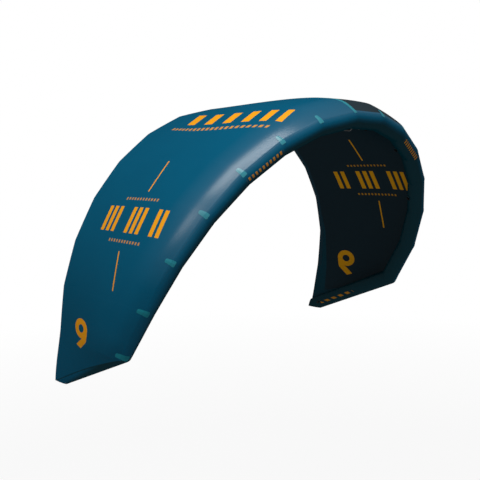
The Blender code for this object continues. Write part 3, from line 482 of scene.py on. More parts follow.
def dashes(value, pitch, low, high, limits):
    """A row of dashes that covers the share from low to high of each pitch, between two limits."""
    return band((value / pitch).fraction(), low, high, 0.1) * band(value, *limits, EDGE)


def print_mask(station, back, height, reading):
    """The orange print of one half: rule lines, leaning bars, rows of dashes and the size number.

    Reading is the way along the chord in which a number reads from outside: forwards on the left half.
    """
    places = PRINT_PLACES[reading]
    up = station * -PANEL
    on = (back - MIDDLE_LINE) * reading
    rule = back - places["upper"]
    mask = band(up, -3.80 * PANEL, -3.05 * PANEL, EDGE) * band(rule, -RULE, RULE, EDGE)
    rule = back - places["lower"] - (up + 5.075 * PANEL) * places["slant"]
    mask = mask + band(up, -5.80 * PANEL, -5.06 * PANEL, EDGE) * band(rule, -RULE, RULE, EDGE)
    row = band(up, -1.978, -1.752, EDGE)
    bars = (on - up * 0.04) / 0.082
    for middle, count in ((-0.32, 3), (0.05, 3), (0.36, 2)):
        place = bars - (middle + 1.865 * 0.04) / 0.082 + count / 2
        mask = mask.most(band(place.fraction(), 0.21, 0.79, 0.05) * band(place, 0.0, count, 0.02) * row)
    small = dashes(on, 0.040, 0.2, 0.7, (-0.24, 0.24))
    for place in (-1.678, -2.052):
        mask = mask.most(small * band(up, place - 0.012, place + 0.012, EDGE) * 0.6)
    level = up + 0.655 - ((back - 0.80) / 0.62) ** 2 * 0.075
    big = (back.most(0.01) ** 0.6 - 0.32 - level * 0.19) / 0.155
    big = band(big.fraction(), 0.16, 0.60, 0.02) * band(big, 0.0, 6.0, 0.02)
    mask = mask.most(big * band(level, -0.11, 0.11, EDGE))
    fine = dashes(back, 0.060, 0.2, 0.75, (0.20, 1.43))
    mask = mask.most(fine * band(level, -0.225, -0.185, EDGE) * 0.7)
    return mask.most(figure_nine(height, on, places["nine"], places["size"])).clamped()


def stitches(seam, place, along, half=0.0006, soft=0.0005, share=(0.2, 0.8)):
    """A line of stitches at a distance from a seam, dashed along it."""
    return band(abs(seam - place), -1.0, half, soft) * band(along.fraction(), *share, 0.1)


def canopy_cloth(name, colour, shade, side, shine, highlight_shine=0.0, print_colour=ORANGE, border=None):
    """Coated ripstop. Border is the colour of the doubled cloth round the inner face's edge.

    The extra coat weight over the front of the upper arch is a painted highlight: it is masked to where the
    lamp's highlight should fall, and the lamp then shines in it.
    """
    board = Board(name)
    station, chord = board.attribute("station"), board.attribute("chord")
    where = board.place()
    grid = ripstop(board, station * PANEL, chord)
    base, cloudy, fine = woven(board, where, colour, shade, grid, 2.2, 160.0, 0.8, (0.16, 1.4))
    seam = abs((station + 0.5).fraction() - 0.5) * PANEL
    doubled = band(seam, -1.0, 0.007, 0.002) * band(station, 0.5, 7.2, 0.01)
    base = board.colour_mix(doubled * 0.25, base, shade)
    stitch = stitches(seam, 0.0045, chord / 0.004, 0.0007, 0.0006, (0.15, 0.80))
    base = board.colour_mix(stitch * doubled * 0.25, base, brighter(colour, 2, 0.01))
    if border:
        edge, edge_colour = band(board.attribute("rim"), -1.0, 1.0, 0.1), border
    else:
        # On the outer face, a narrow strip along the front of the wingtip tube gets the tube's dark underside
        # teal: painted shade.
        edge = band(station + (1 - chord) * 0.10, SEGMENTS + 1.01, SEGMENTS + 2, 0.02)
        edge_colour = UNDER_TEAL
    base = board.colour_mix(edge, base, edge_colour)
    ink = print_mask(station, board.attribute("back"), board.attribute("height"), side)
    base = board.colour_mix(ink * (1.0 - grid * 0.06), base, print_colour)
    normal = board.bump(grid * 0.35 + fine * 0.25 + doubled * 0.5 + stitch * 0.4, 0.0004, 0.6)
    crease = board.noise(where, 9.0, 4.0, 0.6)
    wave = board.node("Bump", {}, {"Height": crease, "Distance": 0.004, "Strength": 0.25, "Normal": normal})
    board.even_shine(shine, 0.28)
    # Painted highlight: extra coat weight near the front, over the stations of the upper arch.
    highlight_band = (1 - chord / 0.34).clamped() * band(station, -1.0, 4.8, 1.6)
    return board.set(Base_Color=base, Roughness=cloudy * 0.08 - grid * 0.03 + 0.60, Normal=wave,
                     Coat_Weight=shine + highlight_band * highlight_shine)


blue_cloth = canopy_cloth("blue_ripstop_cloth", (0.0008, 0.084, 0.156), TUBE_SHADE, -1, 0.012, 0.085)
black_cloth = canopy_cloth("black_ripstop_cloth", (0.016, 0.030, 0.039), (0.013, 0.025, 0.033), 1, 0.010, 0.030)
blue_inside = canopy_cloth("blue_ripstop_inside", (0.0015, 0.050, 0.090), (0.0010, 0.040, 0.075), -1, 0.010,
                           border=BORDER_BLUE)
black_inside = canopy_cloth("black_ripstop_inside", (0.006, 0.022, 0.032), (0.005, 0.018, 0.027), 1, 0.010,
                            print_colour=(0.87, 0.40, 0.008), border=BORDER_BLUE)
print("canopy cloths:", blue_cloth.name, black_cloth.name)


# %% Tape, webbing and tube cloth
def sewn_cloth(name, colour, shade, cell, roughness, bump, shine=0.016, highlight_shine=0.0):
    board = Board(name)
    where = board.place()
    weave = board.node("TexWave", {"bands_direction": "DIAGONAL"},
                       {"Vector": where, "Scale": 1 / cell, "Distortion": 0.6})
    base, cloudy, fine = woven(board, where, colour, shade, weave, grain=220.0)
    board.even_shine(shine, 0.30)
    # Painted highlight: extra coat weight over the stations of the upper arch.
    if highlight_shine:
        highlight_band = band(board.attribute("station"), -1.0, 4.7, 1.6)
        board.set(Coat_Weight=highlight_band * highlight_shine + shine)
    return board.set(Base_Color=base, Roughness=roughness + cloudy * 0.08,
                     Normal=board.bump(weave * 0.5 + fine * 0.6, bump, 0.5))


teal_tape = sewn_cloth("teal_tape", (0.012, 0.215, 0.270), (0.008, 0.160, 0.205), 0.004, 0.48, 0.0003,
                       0.012, 0.090)
dark_tape = sewn_cloth("dark_teal_band", (0.002, 0.034, 0.056), (0.0015, 0.026, 0.044), 0.004, 0.55, 0.0003)
webbing = sewn_cloth("black_webbing", (0.012, 0.012, 0.014), (0.022, 0.022, 0.025), 0.003, 0.80, 0.0006)
web_cloth = sewn_cloth("web_cloth", UNDER_TEAL, UNDER_SHADE, 0.003, 0.50, 0.0003)
blue_tube_cloth = sewn_cloth("blue_tube_cloth", TUBE_BLUE, TUBE_SHADE, 0.003, 0.44, 0.0003, 0.012, 0.080)

UNDER_BARS = ((0.715, 0.775, -3.03, -2.08), (0.66, 0.74, 2.15, 3.05), (0.50, 0.56, 7.42, 7.86))


def tube_cloth(name):
    """Tube cloth with painted shade on its underside, a stitched seam at each joint and runs of bars under the
    front.
    """
    board = Board(name)
    place, turn = board.attribute("place"), board.attribute("turn")
    grid = ripstop(board, place * PANEL, turn * 0.53, 0.004)
    base, cloudy, fine = woven(board, board.place(), TUBE_BLUE, TUBE_SHADE, grid)
    seam = abs((place + 0.5).fraction() - 0.5) * PANEL
    tape = band(seam, -1.0, 0.011, 0.001)
    stitch = stitches(seam, 0.008, turn * 130)
    station = abs(place - MIDDLE)
    tips = band(station, SEGMENTS - 0.03, SEGMENTS + 2, 0.06)
    along_tip = (station - SEGMENTS).clamped()
    # Painted shade: below a turn round the tube the cloth takes the dark underside teal. On the wingtip tube
    # the dark part reaches further round, and covers the whole round at its front. Seam tape and stitches show
    # only above it.
    top = ((turn - 0.69 - tips * (0.31 - along_tip * 0.21)) / 0.09).clamped()
    base = board.colour_mix(top, UNDER_TEAL, base)
    base = board.colour_mix(tape * top * 0.25, base, TUBE_SHADE)
    base = board.colour_mix(stitch * top * 0.2, base, (0.05, 0.14, 0.18))
    runs = [band(turn, low, high, 0.004) * band(place, MIDDLE + first, MIDDLE + last, 0.01)
            for low, high, first, last in UNDER_BARS]
    bars = runs[0].most(runs[1]).most(runs[2]) * band((place * 11).fraction(), 0.15, 0.65, 0.1)
    base = board.colour_mix(bars * 0.75, base, ORANGE)
    height = grid * 0.3 + fine * 0.3 + tape * 1.2 + stitch * 0.8
    board.even_shine(0.012, 0.28)
    # Painted highlight: extra coat weight on the tube's upper front, over the stations of the upper arch.
    highlight_band = ((turn - 0.80) / 0.10).clamped() * band(station, -1.0, 4.7, 1.6)
    return board.set(Base_Color=base, Roughness=cloudy * 0.08 + 0.60, Normal=board.bump(height, 0.0004, 0.6),
                     Coat_Weight=highlight_band * 0.055 + 0.012)


def strut_tube_cloth(name):
    """The same cloth in the dark colour, with a doubled and stitched collar behind the leading edge."""
    board = Board(name)
    back, turn = board.attribute("back"), board.attribute("turn")
    grid = ripstop(board, back, turn * 0.3, 0.004)
    base, cloudy, fine = woven(board, board.place(), UNDER_TEAL, UNDER_SHADE, grid)
    collar = band(back, -1.0, 0.13, 0.002)
    stitch = stitches(back, 0.124, turn * 90)
    base = board.colour_mix(collar * 0.4, base, UNDER_SHADE)
    base = board.colour_mix(stitch * 0.3, base, (0.10, 0.24, 0.32))
    height = grid * 0.3 + fine * 0.3 + collar * 1.2 + stitch * 0.8
    board.even_shine(0.012, 0.28)
    return board.set(Base_Color=base, Roughness=cloudy * 0.08 + 0.60, Normal=board.bump(height, 0.0004, 0.6))


leading_cloth = tube_cloth("leading_edge_cloth")
strut_cloth = strut_tube_cloth("strut_cloth")
print("sewn cloths ready")


# %% Hard finishes
def moulded(name, colour, roughness, grain=0.0002, metallic=0.0):
    """Moulded plastic, rubber or cast metal: fine grain, faint mottling and slight scuffs."""
    board = Board(name)
    where = board.place()
    grainy = board.noise(where, 900.0, 2.0)
    mottled = board.noise(where, 35.0, 4.0, 0.6)
    scuff = band(board.noise(where, 120.0, 5.0, 0.7), 0.62, 1.2, 0.05)
    base = board.colour_mix(mottled * 0.25, colour, brighter(colour, 0.7))
    base = board.colour_mix(scuff * 0.25, base, brighter(colour, 0.7, 0.12))
    return board.set(Base_Color=base, Roughness=roughness + scuff * 0.15 + mottled * 0.06, Metallic=metallic,
                     Normal=board.bump(grainy + scuff, grain, 0.4))


FINISHES = {"grey_plastic": moulded("grey_moulded_plastic", (0.045, 0.048, 0.052), 0.42),
            "black_plastic": moulded("black_moulded_plastic", (0.020, 0.020, 0.023), 0.40),
            "orange_plastic": moulded("orange_moulded_plastic", (0.80, 0.33, 0.02), 0.40),
            "black_rubber": moulded("black_rubber", (0.018, 0.018, 0.018), 0.68, 0.0003),
            "zinc": moulded("cast_zinc", (0.55, 0.56, 0.58), 0.32, 0.0001, 1.0),
            "clear_film": moulded("bladder_film", (0.70, 0.74, 0.76), 0.22)}
print("hard finishes ready")

# %% [markdown]
# ## The canopy as one curved sheet
#
# The cloth is cut in panels, but once sewn and filled with wind it is one surface. A grid of points
# runs from wingtip to wingtip. Between two joints each point lies partly on the straight line that
# the panel would follow and partly on the true curve, since wind swells every panel a little. The
# light should follow the smooth curve, so the surface gets its normals from there. An inner copy of
# the grid, a millimetre away, turns the sheet into real cloth with two faces.

# %% Rows of the canopy
PANEL_STEPS, TIP_STEPS = 8, 10
STATIONS = [step / PANEL_STEPS for step in range(SEGMENTS * PANEL_STEPS + 1)]
SWELL, SWELL_FROM, SWELL_LOSS = 0.45, 0.12, 0.55


def canopy_row(side, station, lift):
    """The points of a section up to the wingtip, as sewn and swollen, and the same on the smooth curve."""
    joint = min(int(station), SEGMENTS - 1)
    smooth = section(side, station, lift)
    first, second = section(side, joint, lift), section(side, joint + 1, lift)
    row = []
    for index, (a, b, s) in enumerate(zip(first, second, smooth)):
        back = index / (len(smooth) - 1)
        swell = SWELL * min(1, back / SWELL_FROM) * (1 - SWELL_LOSS * back)
        row.append(a.lerp(b, station - joint).lerp(s, swell))
    return row, smooth


def tip_rows(side, lift):
    """Rows from the last section down to the outer side of the wingtip tube."""
    last = MIDDLE + side * SEGMENTS
    run = min(last, last + side)
    top = section(side, SEGMENTS, lift)
    length = (top[-1] - top[0]).length
    columns = []
    for point in top:
        share = (point - top[0]).length / length
        angle = -SEAM_ANGLE * (1 - share) ** 2
        foot, _, _, normal = leading.surface(last + side * share, angle, lift + GAP, run)
        span = point - foot
        lead = foot + (span - normal * span.dot(normal)) / 3
        trail = point - span / 3
        columns.append([bezier(point, trail, lead, foot, step / TIP_STEPS) for step in range(1, TIP_STEPS + 1)])
    return [list(row) for row in zip(*columns)]


def half_canopy(side, lift):
    """(signed station, row, smooth row) from the middle to the wingtip tube."""
    rows = [(side * station, *canopy_row(side, station, lift)) for station in STATIONS]
    for step, row in enumerate(tip_rows(side, lift)):
        rows.append((side * (SEGMENTS + (step + 1) / TIP_STEPS), row, row))
    return rows


def whole_canopy(lift):
    return half_canopy(-1, lift)[:0:-1] + half_canopy(1, lift)


outer_rows = whole_canopy(CLOTH)
inner_rows = whole_canopy(CLOTH - CLOTH_DEPTH)
print("canopy grid:", len(outer_rows), "rows of", len(outer_rows[0][1]), "points")


# %% Cloth solids
def grid_normals(rows):
    """The normal at each point of a grid, from its neighbours along both directions."""
    last, end = len(rows) - 1, len(rows[0]) - 1
    found = []
    for r in range(last + 1):
        for c in range(end + 1):
            down = rows[min(r + 1, last)][c] - rows[max(r - 1, 0)][c]
            over = rows[r][min(c + 1, end)] - rows[r][max(c - 1, 0)]
            found.append(down.cross(over).normalized())
    return found


def blended(normals, columns, reach):
    """Normals averaged over the rows on both sides, so that the light turns softly from row to row."""
    rows = [normals[start:start + columns] for start in range(0, len(normals), columns)]
    found = []
    for r in range(len(rows)):
        near = rows[max(r - reach, 0):r + reach + 1]
        found += [sum(column, Vector()).normalized() for column in zip(*near)]
    return found


def add_piece(mesh, slot, *finishes, nodes=()):
    """Puts a piece on the kite's body, with its finishes, and hides the CAD nodes it replaces; slot is not
    used.
    """
    obj = bpy.data.objects.new(mesh.name, mesh)
    bpy.context.scene.collection.objects.link(obj)
    for finish in finishes:
        mesh.materials.append(finish)
    if nodes:
        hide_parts(*nodes)
    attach(obj, "kite")
    return obj


def both_hands(form, last):
    """The names of the CAD's pieces of one kind on both halves, and of the piece at each wingtip."""
    numbered = [form.format(hand, k + 1) for _, hand in HANDS for k in range(SEGMENTS)]
    return numbered + [last.format(hand) for _, hand in HANDS]


def new_mesh(name, points, faces, fields=None):
    """A closed mesh with its faces pointing out, and a named number for each point where fields gives them."""
    mesh = bpy.data.meshes.new(name)
    mesh.from_pydata([tuple(p) for p in points], [], faces)
    for field, values in (fields or {}).items():
        mesh.attributes.new(field, "FLOAT", "POINT").data.foreach_set("value", values)
    work = bmesh.new()
    work.from_mesh(mesh)
    bmesh.ops.recalc_face_normals(work, faces=work.faces)
    work.to_mesh(mesh)
    work.free()
    mesh.shade_smooth()
    return mesh


def cloth_mesh(name, outer, inner, fields=None, smooth=None, slot_of=None, reach=0):
    """A sheet with an outer and an inner face, closed round its border."""
    rows, columns = len(outer), len(outer[0])
    shift = rows * columns
    faces, slots = [], []
    for r in range(rows - 1):
        for c in range(columns - 1):
            a = r * columns + c
            quad = (a, a + 1, a + columns + 1, a + columns)
            faces += [quad, tuple(i + shift for i in reversed(quad))]
            slots += [slot_of(r, True), slot_of(r, False)] if slot_of else [0, 0]
    border = [(0, c) for c in range(columns)] + [(r, columns - 1) for r in range(1, rows)]
    border += [(rows - 1, c) for c in range(columns - 2, -1, -1)] + [(r, 0) for r in range(rows - 2, 0, -1)]
    two_faced = len(faces)
    for (r, c), (r2, c2) in zip(border, border[1:] + border[:1]):
        a, b = r * columns + c, r2 * columns + c2
        faces.append((a, a + shift, b + shift, b))
        slots.append(slot_of(min(r, rows - 2), True) if slot_of else 0)
    points = [p for row in outer for p in row] + [p for row in inner for p in row]
    mesh = new_mesh(name, points, faces, fields)
    mesh.polygons.foreach_set("material_index", slots)
    wanted = blended(grid_normals(smooth or outer), columns, reach) * 2
    loops = []
    for polygon in mesh.polygons:
        for vertex in polygon.vertices:
            normal = wanted[vertex] if polygon.index < two_faced else polygon.normal
            loops.append(tuple(normal if normal.dot(polygon.normal) > 0 else -normal))
    mesh.normals_split_custom_set(loops)
    return mesh


def grid_area(rows):
    total = 0
    for first, second in zip(rows, rows[1:]):
        for a, b, c, d in zip(first, first[1:], second[1:], second):
            total += ((b - a).cross(c - a).length + (c - a).cross(d - a).length) / 2
    return total


def declare_sheet(rows):
    width = max(line_length(row) for row in rows)
    length = max(line_length(column) for column in zip(*rows))
    grid_area(rows)


# %% The canopy piece
HEM, HEM_WIDENS = 0.045, 5.5
NOSE_BORDER, TUBE_BORDER = 0.03, 0.3


def canopy_fields(rows):
    """Numbers that the cloth's shader reads, for both faces: the station, lengths and the share of a hem."""
    stations, chords, rims = [], [], []
    for station, row, _ in rows:
        station = abs(station)
        lengths = section_lengths(min(station, SEGMENTS))
        hem = HEM * (1 + max(0, station - HEM_WIDENS))
        to_tube = (SEGMENTS + 1 - station) / TUBE_BORDER
        stations += [station] * len(row)
        chords += lengths
        rims += [min((lengths[-1] - length) / hem, length / NOSE_BORDER, to_tube, 2) for length in lengths]
    places = [p for _, row, _ in rows for p in row]
    return {"station": stations * 2, "chord": chords * 2, "rim": rims * 2,
            "back": [p.y for p in places] * 2, "height": [p.z for p in places] * 2}


def canopy_slot(row, outside):
    middle = outer_rows[row][0] + outer_rows[row + 1][0]
    return (0 if middle < 0 else 1) + (0 if outside else 2)


outer_grid = [row for _, row, _ in outer_rows]
canopy_mesh = cloth_mesh("canopy_sheet", outer_grid, [row for _, row, _ in inner_rows],
                         canopy_fields(outer_rows), [smooth for _, _, smooth in outer_rows], canopy_slot, 3)
canopy = add_piece(canopy_mesh, "blue_ripstop", blue_cloth, black_cloth, blue_inside, black_inside,
                   nodes=both_hands("canopy_panel_{}_{}", "wingtip_panel_{}"))
declare_sheet(outer_grid)
print("canopy cloth:", round(grid_area(outer_grid), 2), "m2")

# %% [markdown]
# ## The leading edge tube
#
# Inflated cloth is tight, so the tube is smooth along each piece. Where two pieces meet, the seam
# draws the skin in by a millimetre or so and small puckers run away from it. The rings below are
# closer together near the joints for that reason.

# %% Tube with its puckers
TUBE_SIDES = 56
RING_SHARES = (0.0, 0.008, 0.02, 0.045, 0.09, 0.18, 0.32, 0.5, 0.68, 0.82, 0.91, 0.955, 0.98, 0.992)
WAIST, WAIST_REACH = 0.0011, 0.004
RIPPLE, RIPPLE_REACH, RIPPLES = 0.0005, 0.03, 26
END_DOME, STRUT_DOME = 0.005, 0.012
DOME_STEPS, DOME_CLOSES = 4, 0.94


def pucker(distance, angle):
    """How far a seam draws the skin in at a distance from it, in metres."""
    waist = WAIST / (1 + (distance / WAIST_REACH) ** 2)
    ripple = RIPPLE * sin(angle * RIPPLES) / (1 + (distance / RIPPLE_REACH) ** 2)
    return waist + ripple


def tip_cut(side, angle, start, end):
    """Where a line along the wingtip tube is cut: level with the corner, or in line with the rear edge."""
    corner = wingtip_corner(side)
    edge = trailing_point(side, SEGMENTS) - corner
    ways = Vector((0, 0, -1)), Vector((0, edge.z, -edge.y)).normalized()
    return start.lerp(end, min((corner - start).dot(way) / (end - start).dot(way) for way in ways))


def ring_point(joint, share, grow, angle):
    here, there = (leading.joint_point(k, grow, angle) for k in (joint, joint + 1))
    if joint == 0:
        here = tip_cut(-1, angle, there, here)
    if joint == len(leading.runs) - 1:
        there = tip_cut(1, angle, here, there)
    return here.lerp(there, share)


def leading_rings():
    rings, places = [], []
    runs = len(leading.runs)
    for joint in range(runs):
        length = (leading.path[joint + 1] - leading.path[joint]).length
        for share in RING_SHARES + ((1.0,) if joint == runs - 1 else ()):
            before = share * length if joint > 0 else 1
            after = (1 - share) * length if joint < runs - 1 else 1
            near = min(before, after)
            rings.append([ring_point(joint, share, -pucker(near, a), a) for a in round_angles(TUBE_SIDES)])
            places.append(joint + share)
    return rings, places


def dome(ring, along, depth):
    """Rings that close a tube's end like a shallow dish."""
    centre = (ring[0] + ring[len(ring) // 2]) / 2
    turns = [step / DOME_STEPS * pi / 2 for step in range(1, DOME_STEPS + 1)]
    return [[centre + (p - centre) * cos(turn * DOME_CLOSES) + along * depth * sin(turn) for p in ring]
            for turn in turns]


def tube_mesh(name, rings, fields):
    """A closed skin through rings, with flat ends."""
    sides = len(rings[0])
    faces = [tuple(range(sides)), tuple((len(rings) - 1) * sides + s for s in range(sides))]
    for r in range(len(rings) - 1):
        for s in range(sides):
            a, b = r * sides + s, r * sides + (s + 1) % sides
            faces.append((a, a + sides, b + sides, b))
    return new_mesh(name, [p for ring in rings for p in ring], faces, fields)


rings, places = leading_rings()
first_end = dome(rings[0], -leading.along[0], END_DOME)
last_end = dome(rings[-1], leading.along[-1], END_DOME)
all_rings = first_end[::-1] + rings + last_end
all_places = [places[0]] * len(first_end) + places + [places[-1]] * len(last_end)
tube_fields = {"place": [p for p in all_places for _ in range(TUBE_SIDES)],
               "turn": [s / TUBE_SIDES for _ in all_places for s in range(TUBE_SIDES)]}
leading_mesh = tube_mesh("leading_edge_tube", all_rings, tube_fields)
add_piece(leading_mesh, "blue_dacron", leading_cloth, nodes=both_hands("leading_edge_{}_{}", "wingtip_tube_{}"))
print("leading edge tube:", len(all_rings), "rings")

# %% [markdown]
# ## The strut
#
# The strut is the second tube. It starts against the rear of the leading edge, rises until it
# touches the canopy, and from there lies along the cloth to just short of the trailing edge. An
# upright web ties it to the canopy ahead of the place where they meet.

# %% Strut path
STRUT_FRONT, STRUT_REAR = 0.058, 0.034
STRUT_JOINT, STRUT_END = 0.46 * CHORD, CHORD - 0.062
STRUT_HANDLE = 0.34
STRUT_STEPS, STRUT_SIDES = 18, 40
CAD_REAR_STEPS = 6
FOLD = cos(ARC / SEGMENTS / 2)


def along_line(points, y):
    """The height of a line of points over a place along Y."""
    for a, b in zip(points, points[1:]):
        if a.y <= y <= b.y:
            return a.z + (b.z - a.z) * (y - a.y) / (b.y - a.y)
    return points[-1].z


def strut_radius(y):
    return STRUT_FRONT + (STRUT_REAR - STRUT_FRONT) * y / STRUT_END


def strut_path():
    """The strut hangs from the canopy's inner face, which the CAD builds in a few straight steps."""
    coarse = section(1, 0, 0)[FRONT_STEPS::REAR_STEPS // CAD_REAR_STEPS]
    joint, end = (Vector((0, y, along_line(coarse, y) - (strut_radius(y) + 2 * GAP) / FOLD))
                  for y in (STRUT_JOINT, STRUT_END))
    handle = STRUT_HANDLE * STRUT_JOINT
    second = joint - (end - joint).normalized() * handle
    curve = Vector(), Vector((0, handle, 0)), second, joint
    return [bezier(*curve, k / STRUT_STEPS) for k in range(STRUT_STEPS + 1)] + [end]


path = strut_path()
strut = Tube(path, [strut_radius(p.y) for p in path], [Vector((0, 0, 1))] * len(path))
print("strut to", round(STRUT_END, 3), "m back, end height", round(path[-1].z, 3))


# %% Strut tube and web
def leading_distance(point):
    """Distance of a point near the middle from the leading edge's axis."""
    run = leading.runs[MIDDLE if point.x >= 0 else MIDDLE - 1]
    arm = point - leading.path[MIDDLE]
    return (arm - run * arm.dot(run)).length


def strut_start(angle):
    """The place along the strut where this line of its skin meets the leading edge."""
    low, high = 0.0, 8.0
    for _ in range(30):
        middle = (low + high) / 2
        inside = leading_distance(strut.point(middle, 0, angle)) < TUBE_CENTRE + GAP
        low, high = (middle, high) if inside else (low, middle)
    return high


ROOM, ROOM_STATION, ROOM_REACH = 0.003, 15, 3
FRONT_RINGS, REAR_RINGS = 24, 12


def strut_room(station, angle):
    """Extra room under the strut's bend, where the bladder inside would come through the skin."""
    return ROOM * max(0, 1 - abs(station - ROOM_STATION) / ROOM_REACH) * (1 - cos(angle)) / 2


def strut_rings():
    angles = round_angles(STRUT_SIDES)
    starts = [strut_start(angle) for angle in angles]
    rings = []
    for step in range(FRONT_RINGS + 1):
        stations = [s + (STRUT_STEPS - s) * step / FRONT_RINGS for s in starts]
        rings.append([strut.point(s, strut_room(s, a), a) for a, s in zip(angles, stations)])
    for step in range(1, REAR_RINGS + 1):
        rings.append([strut.point(STRUT_STEPS + step / REAR_RINGS, 0, a) for a in angles])
    return rings + dome(rings[-1], strut.along[-1], STRUT_DOME)


strut_skin = strut_rings()
strut_fields = {"back": [p.y for ring in strut_skin for p in ring],
                "turn": [s / STRUT_SIDES for _ in strut_skin for s in range(STRUT_SIDES)]}
add_piece(tube_mesh("strut_tube", strut_skin, strut_fields), "blue_dacron", strut_cloth, nodes=["strut_casing"])

WEB_FRONT, WEB_REAR = 0.030, STRUT_JOINT - 0.012
WEB_STEPS, WEB_ROWS, WEB_HALF = 26, 5, 0.0004
canopy_inside = inner_rows[len(inner_rows) // 2][1]


def web_grid(x):
    """Columns of points from the strut's top, or the leading edge's, up to the canopy."""
    strut_top = [strut.point(k / 2, 0, 0) for k in range(2 * STRUT_STEPS + 1)]
    rows = []
    for step in range(WEB_STEPS + 1):
        y = WEB_FRONT + (WEB_REAR - WEB_FRONT) * step / WEB_STEPS
        on_tube = sqrt(max(0, (TUBE_CENTRE + GAP) ** 2 - y * y))
        low = max(along_line(strut_top, y), on_tube) + GAP
        high = max(along_line(canopy_inside, y) - GAP, low + GAP)
        rows.append([Vector((x, y, low + (high - low) * k / WEB_ROWS)) for k in range(WEB_ROWS + 1)])
    return rows


web_side = web_grid(WEB_HALF)
web_mesh = cloth_mesh("strut_web", web_side, web_grid(-WEB_HALF))
web = add_piece(web_mesh, "blue_ripstop", web_cloth, nodes=["strut_canopy_web"])
declare_sheet(web_side)
print("strut rings:", len(strut_skin), "web rows:", len(web_side))

# %% [markdown]
# ## Tapes, patches and hems
#
# Each joint of the leading edge carries a sewn patch that starts on the canopy and widens over the
# tube. The middle seam of the canopy has a long tape, the trailing edge a doubled hem on its inner
# side, and a narrow flap covers the seam between canopy and tube. All of these follow the two
# surfaces, so one function gives a point on the canopy or the tube for a distance past the seam.

# %% Points on the outside of the kite
STEP_DOWN = 0.006


def along_row(points, lengths, distance):
    for a, b, low, high in zip(points, points[1:], lengths, lengths[1:]):
        if distance <= high:
            return a.lerp(b, (distance - low) / (high - low))
    return points[-1]


def skin_point(side, station, distance, lift):
    """A point over the canopy at a distance behind the seam, or over the tube where it is below zero."""
    if distance >= 0:
        row, _ = canopy_row(side, min(station, SEGMENTS), CLOTH + lift)
        return along_row(row, section_lengths(min(station, SEGMENTS)), distance)
    angle = -SEAM_ANGLE + distance / tube_radius(min(station, SEGMENTS))
    over_edge = (CLOTH + GAP) * max(0, 1 + distance / STEP_DOWN)
    return leading.point(MIDDLE + side * station, over_edge + lift, angle)


PATCH_ROWS = (0.055, 0.053, 0.049, 0.043, 0.032, 0.018, 0.008, 0.002, 0.0, -0.002, -0.0045, -0.008)
PATCH_COLUMNS, PATCH_LOW_STEPS = 8, 9
PATCH_NARROW, PATCH_WIDE = 0.032, 0.050
PATCH_ROUND, PATCH_ENDS = 0.011, 0.4
PATCH_INSET, PATCH_LIFT = 0.08, 0.0008
PATCH_TURN, TIP_PATCH_TURN = 24, 49
TAPE, FLAP = 0.0006, 0.0004


def patch_points(side, joint, reach, lift):
    """Rows from a patch's narrow end on the canopy to its wide end on the tube, reach metres past the seam."""
    steps = range(1, PATCH_LOW_STEPS + 1)
    bottom = [PATCH_ROWS[-1] - (reach + PATCH_ROWS[-1]) * k / PATCH_LOW_STEPS for k in steps]
    centre = min(joint, SEGMENTS - PATCH_INSET)
    rows = []
    for distance in PATCH_ROWS + tuple(bottom):
        share = (PATCH_ROWS[0] - distance) / (PATCH_ROWS[0] + reach)
        end = min(1, (PATCH_ROWS[0] - distance) / PATCH_ROUND, (distance + reach) / PATCH_ROUND)
        rounding = PATCH_ENDS + (1 - PATCH_ENDS) * sqrt(max(0, 1 - (1 - end) ** 2))
        half = (PATCH_NARROW + (PATCH_WIDE - PATCH_NARROW) * share) / 2 * rounding
        across = [half * (2 * k / PATCH_COLUMNS - 1) for k in range(PATCH_COLUMNS + 1)]
        rows.append([skin_point(side, centre + x / PANEL, distance, lift) for x in across])
    return rows


def add_strip(name, point_at, cloth, finish, slot="teal_dacron", nodes=(), lift=GAP, stations=()):
    """A strip of cloth, from a function that gives its rows of points at a lift over what it lies on."""
    outer, inner = point_at(lift + cloth), point_at(lift)
    fields = {"station": [station for station in stations for _ in outer[0]] * 2} if stations else None
    strip = add_piece(cloth_mesh(name, outer, inner, fields), slot, finish, nodes=nodes)
    declare_sheet(outer)


for side, hand in HANDS:
    for joint in range(1, SEGMENTS + 1):
        reach = TUBE_CENTRE * radians(PATCH_TURN + (TIP_PATCH_TURN - PATCH_TURN) * max(0, joint - 5) / 2)
        add_strip(f"joint_patch_{hand}_{joint}", lambda lift: patch_points(side, joint, reach, lift), TAPE,
                  teal_tape, lift=PATCH_LIFT, stations=[joint] * (len(PATCH_ROWS) + PATCH_LOW_STEPS))
print("joint patches: 14")


# %% Centre tape, seam flap and hems
CENTRE_HALF, CENTRE_STEPS = 0.018, 60
FLAP_ROWS = (0.009, 0.004, 0.0, -0.003, -0.006, -0.011)
HEM_ROWS = (HEM, HEM / 2, 0.0004)


def centre_points(lift):
    length = section_lengths(0)[-1]
    distances = [length * (1 - k / CENTRE_STEPS) for k in range(CENTRE_STEPS)]
    distances += [*PATCH_ROWS[-5:], -0.014, -0.020]
    return [[skin_point(-1 if k < 0 else 1, abs(k) / 2 * CENTRE_HALF / PANEL, distance, lift)
             for k in range(-2, 3)] for distance in distances]


def flap_points(side, lift):
    return [[skin_point(side, station, distance, lift) for distance in FLAP_ROWS] for station in STATIONS]


def hem_points(side, lift):
    rows = []
    for station in STATIONS:
        row, _ = canopy_row(side, station, CLOTH - CLOTH_DEPTH - lift)
        lengths = section_lengths(station)
        rows.append([along_row(row, lengths, lengths[-1] - back) for back in HEM_ROWS])
    return rows


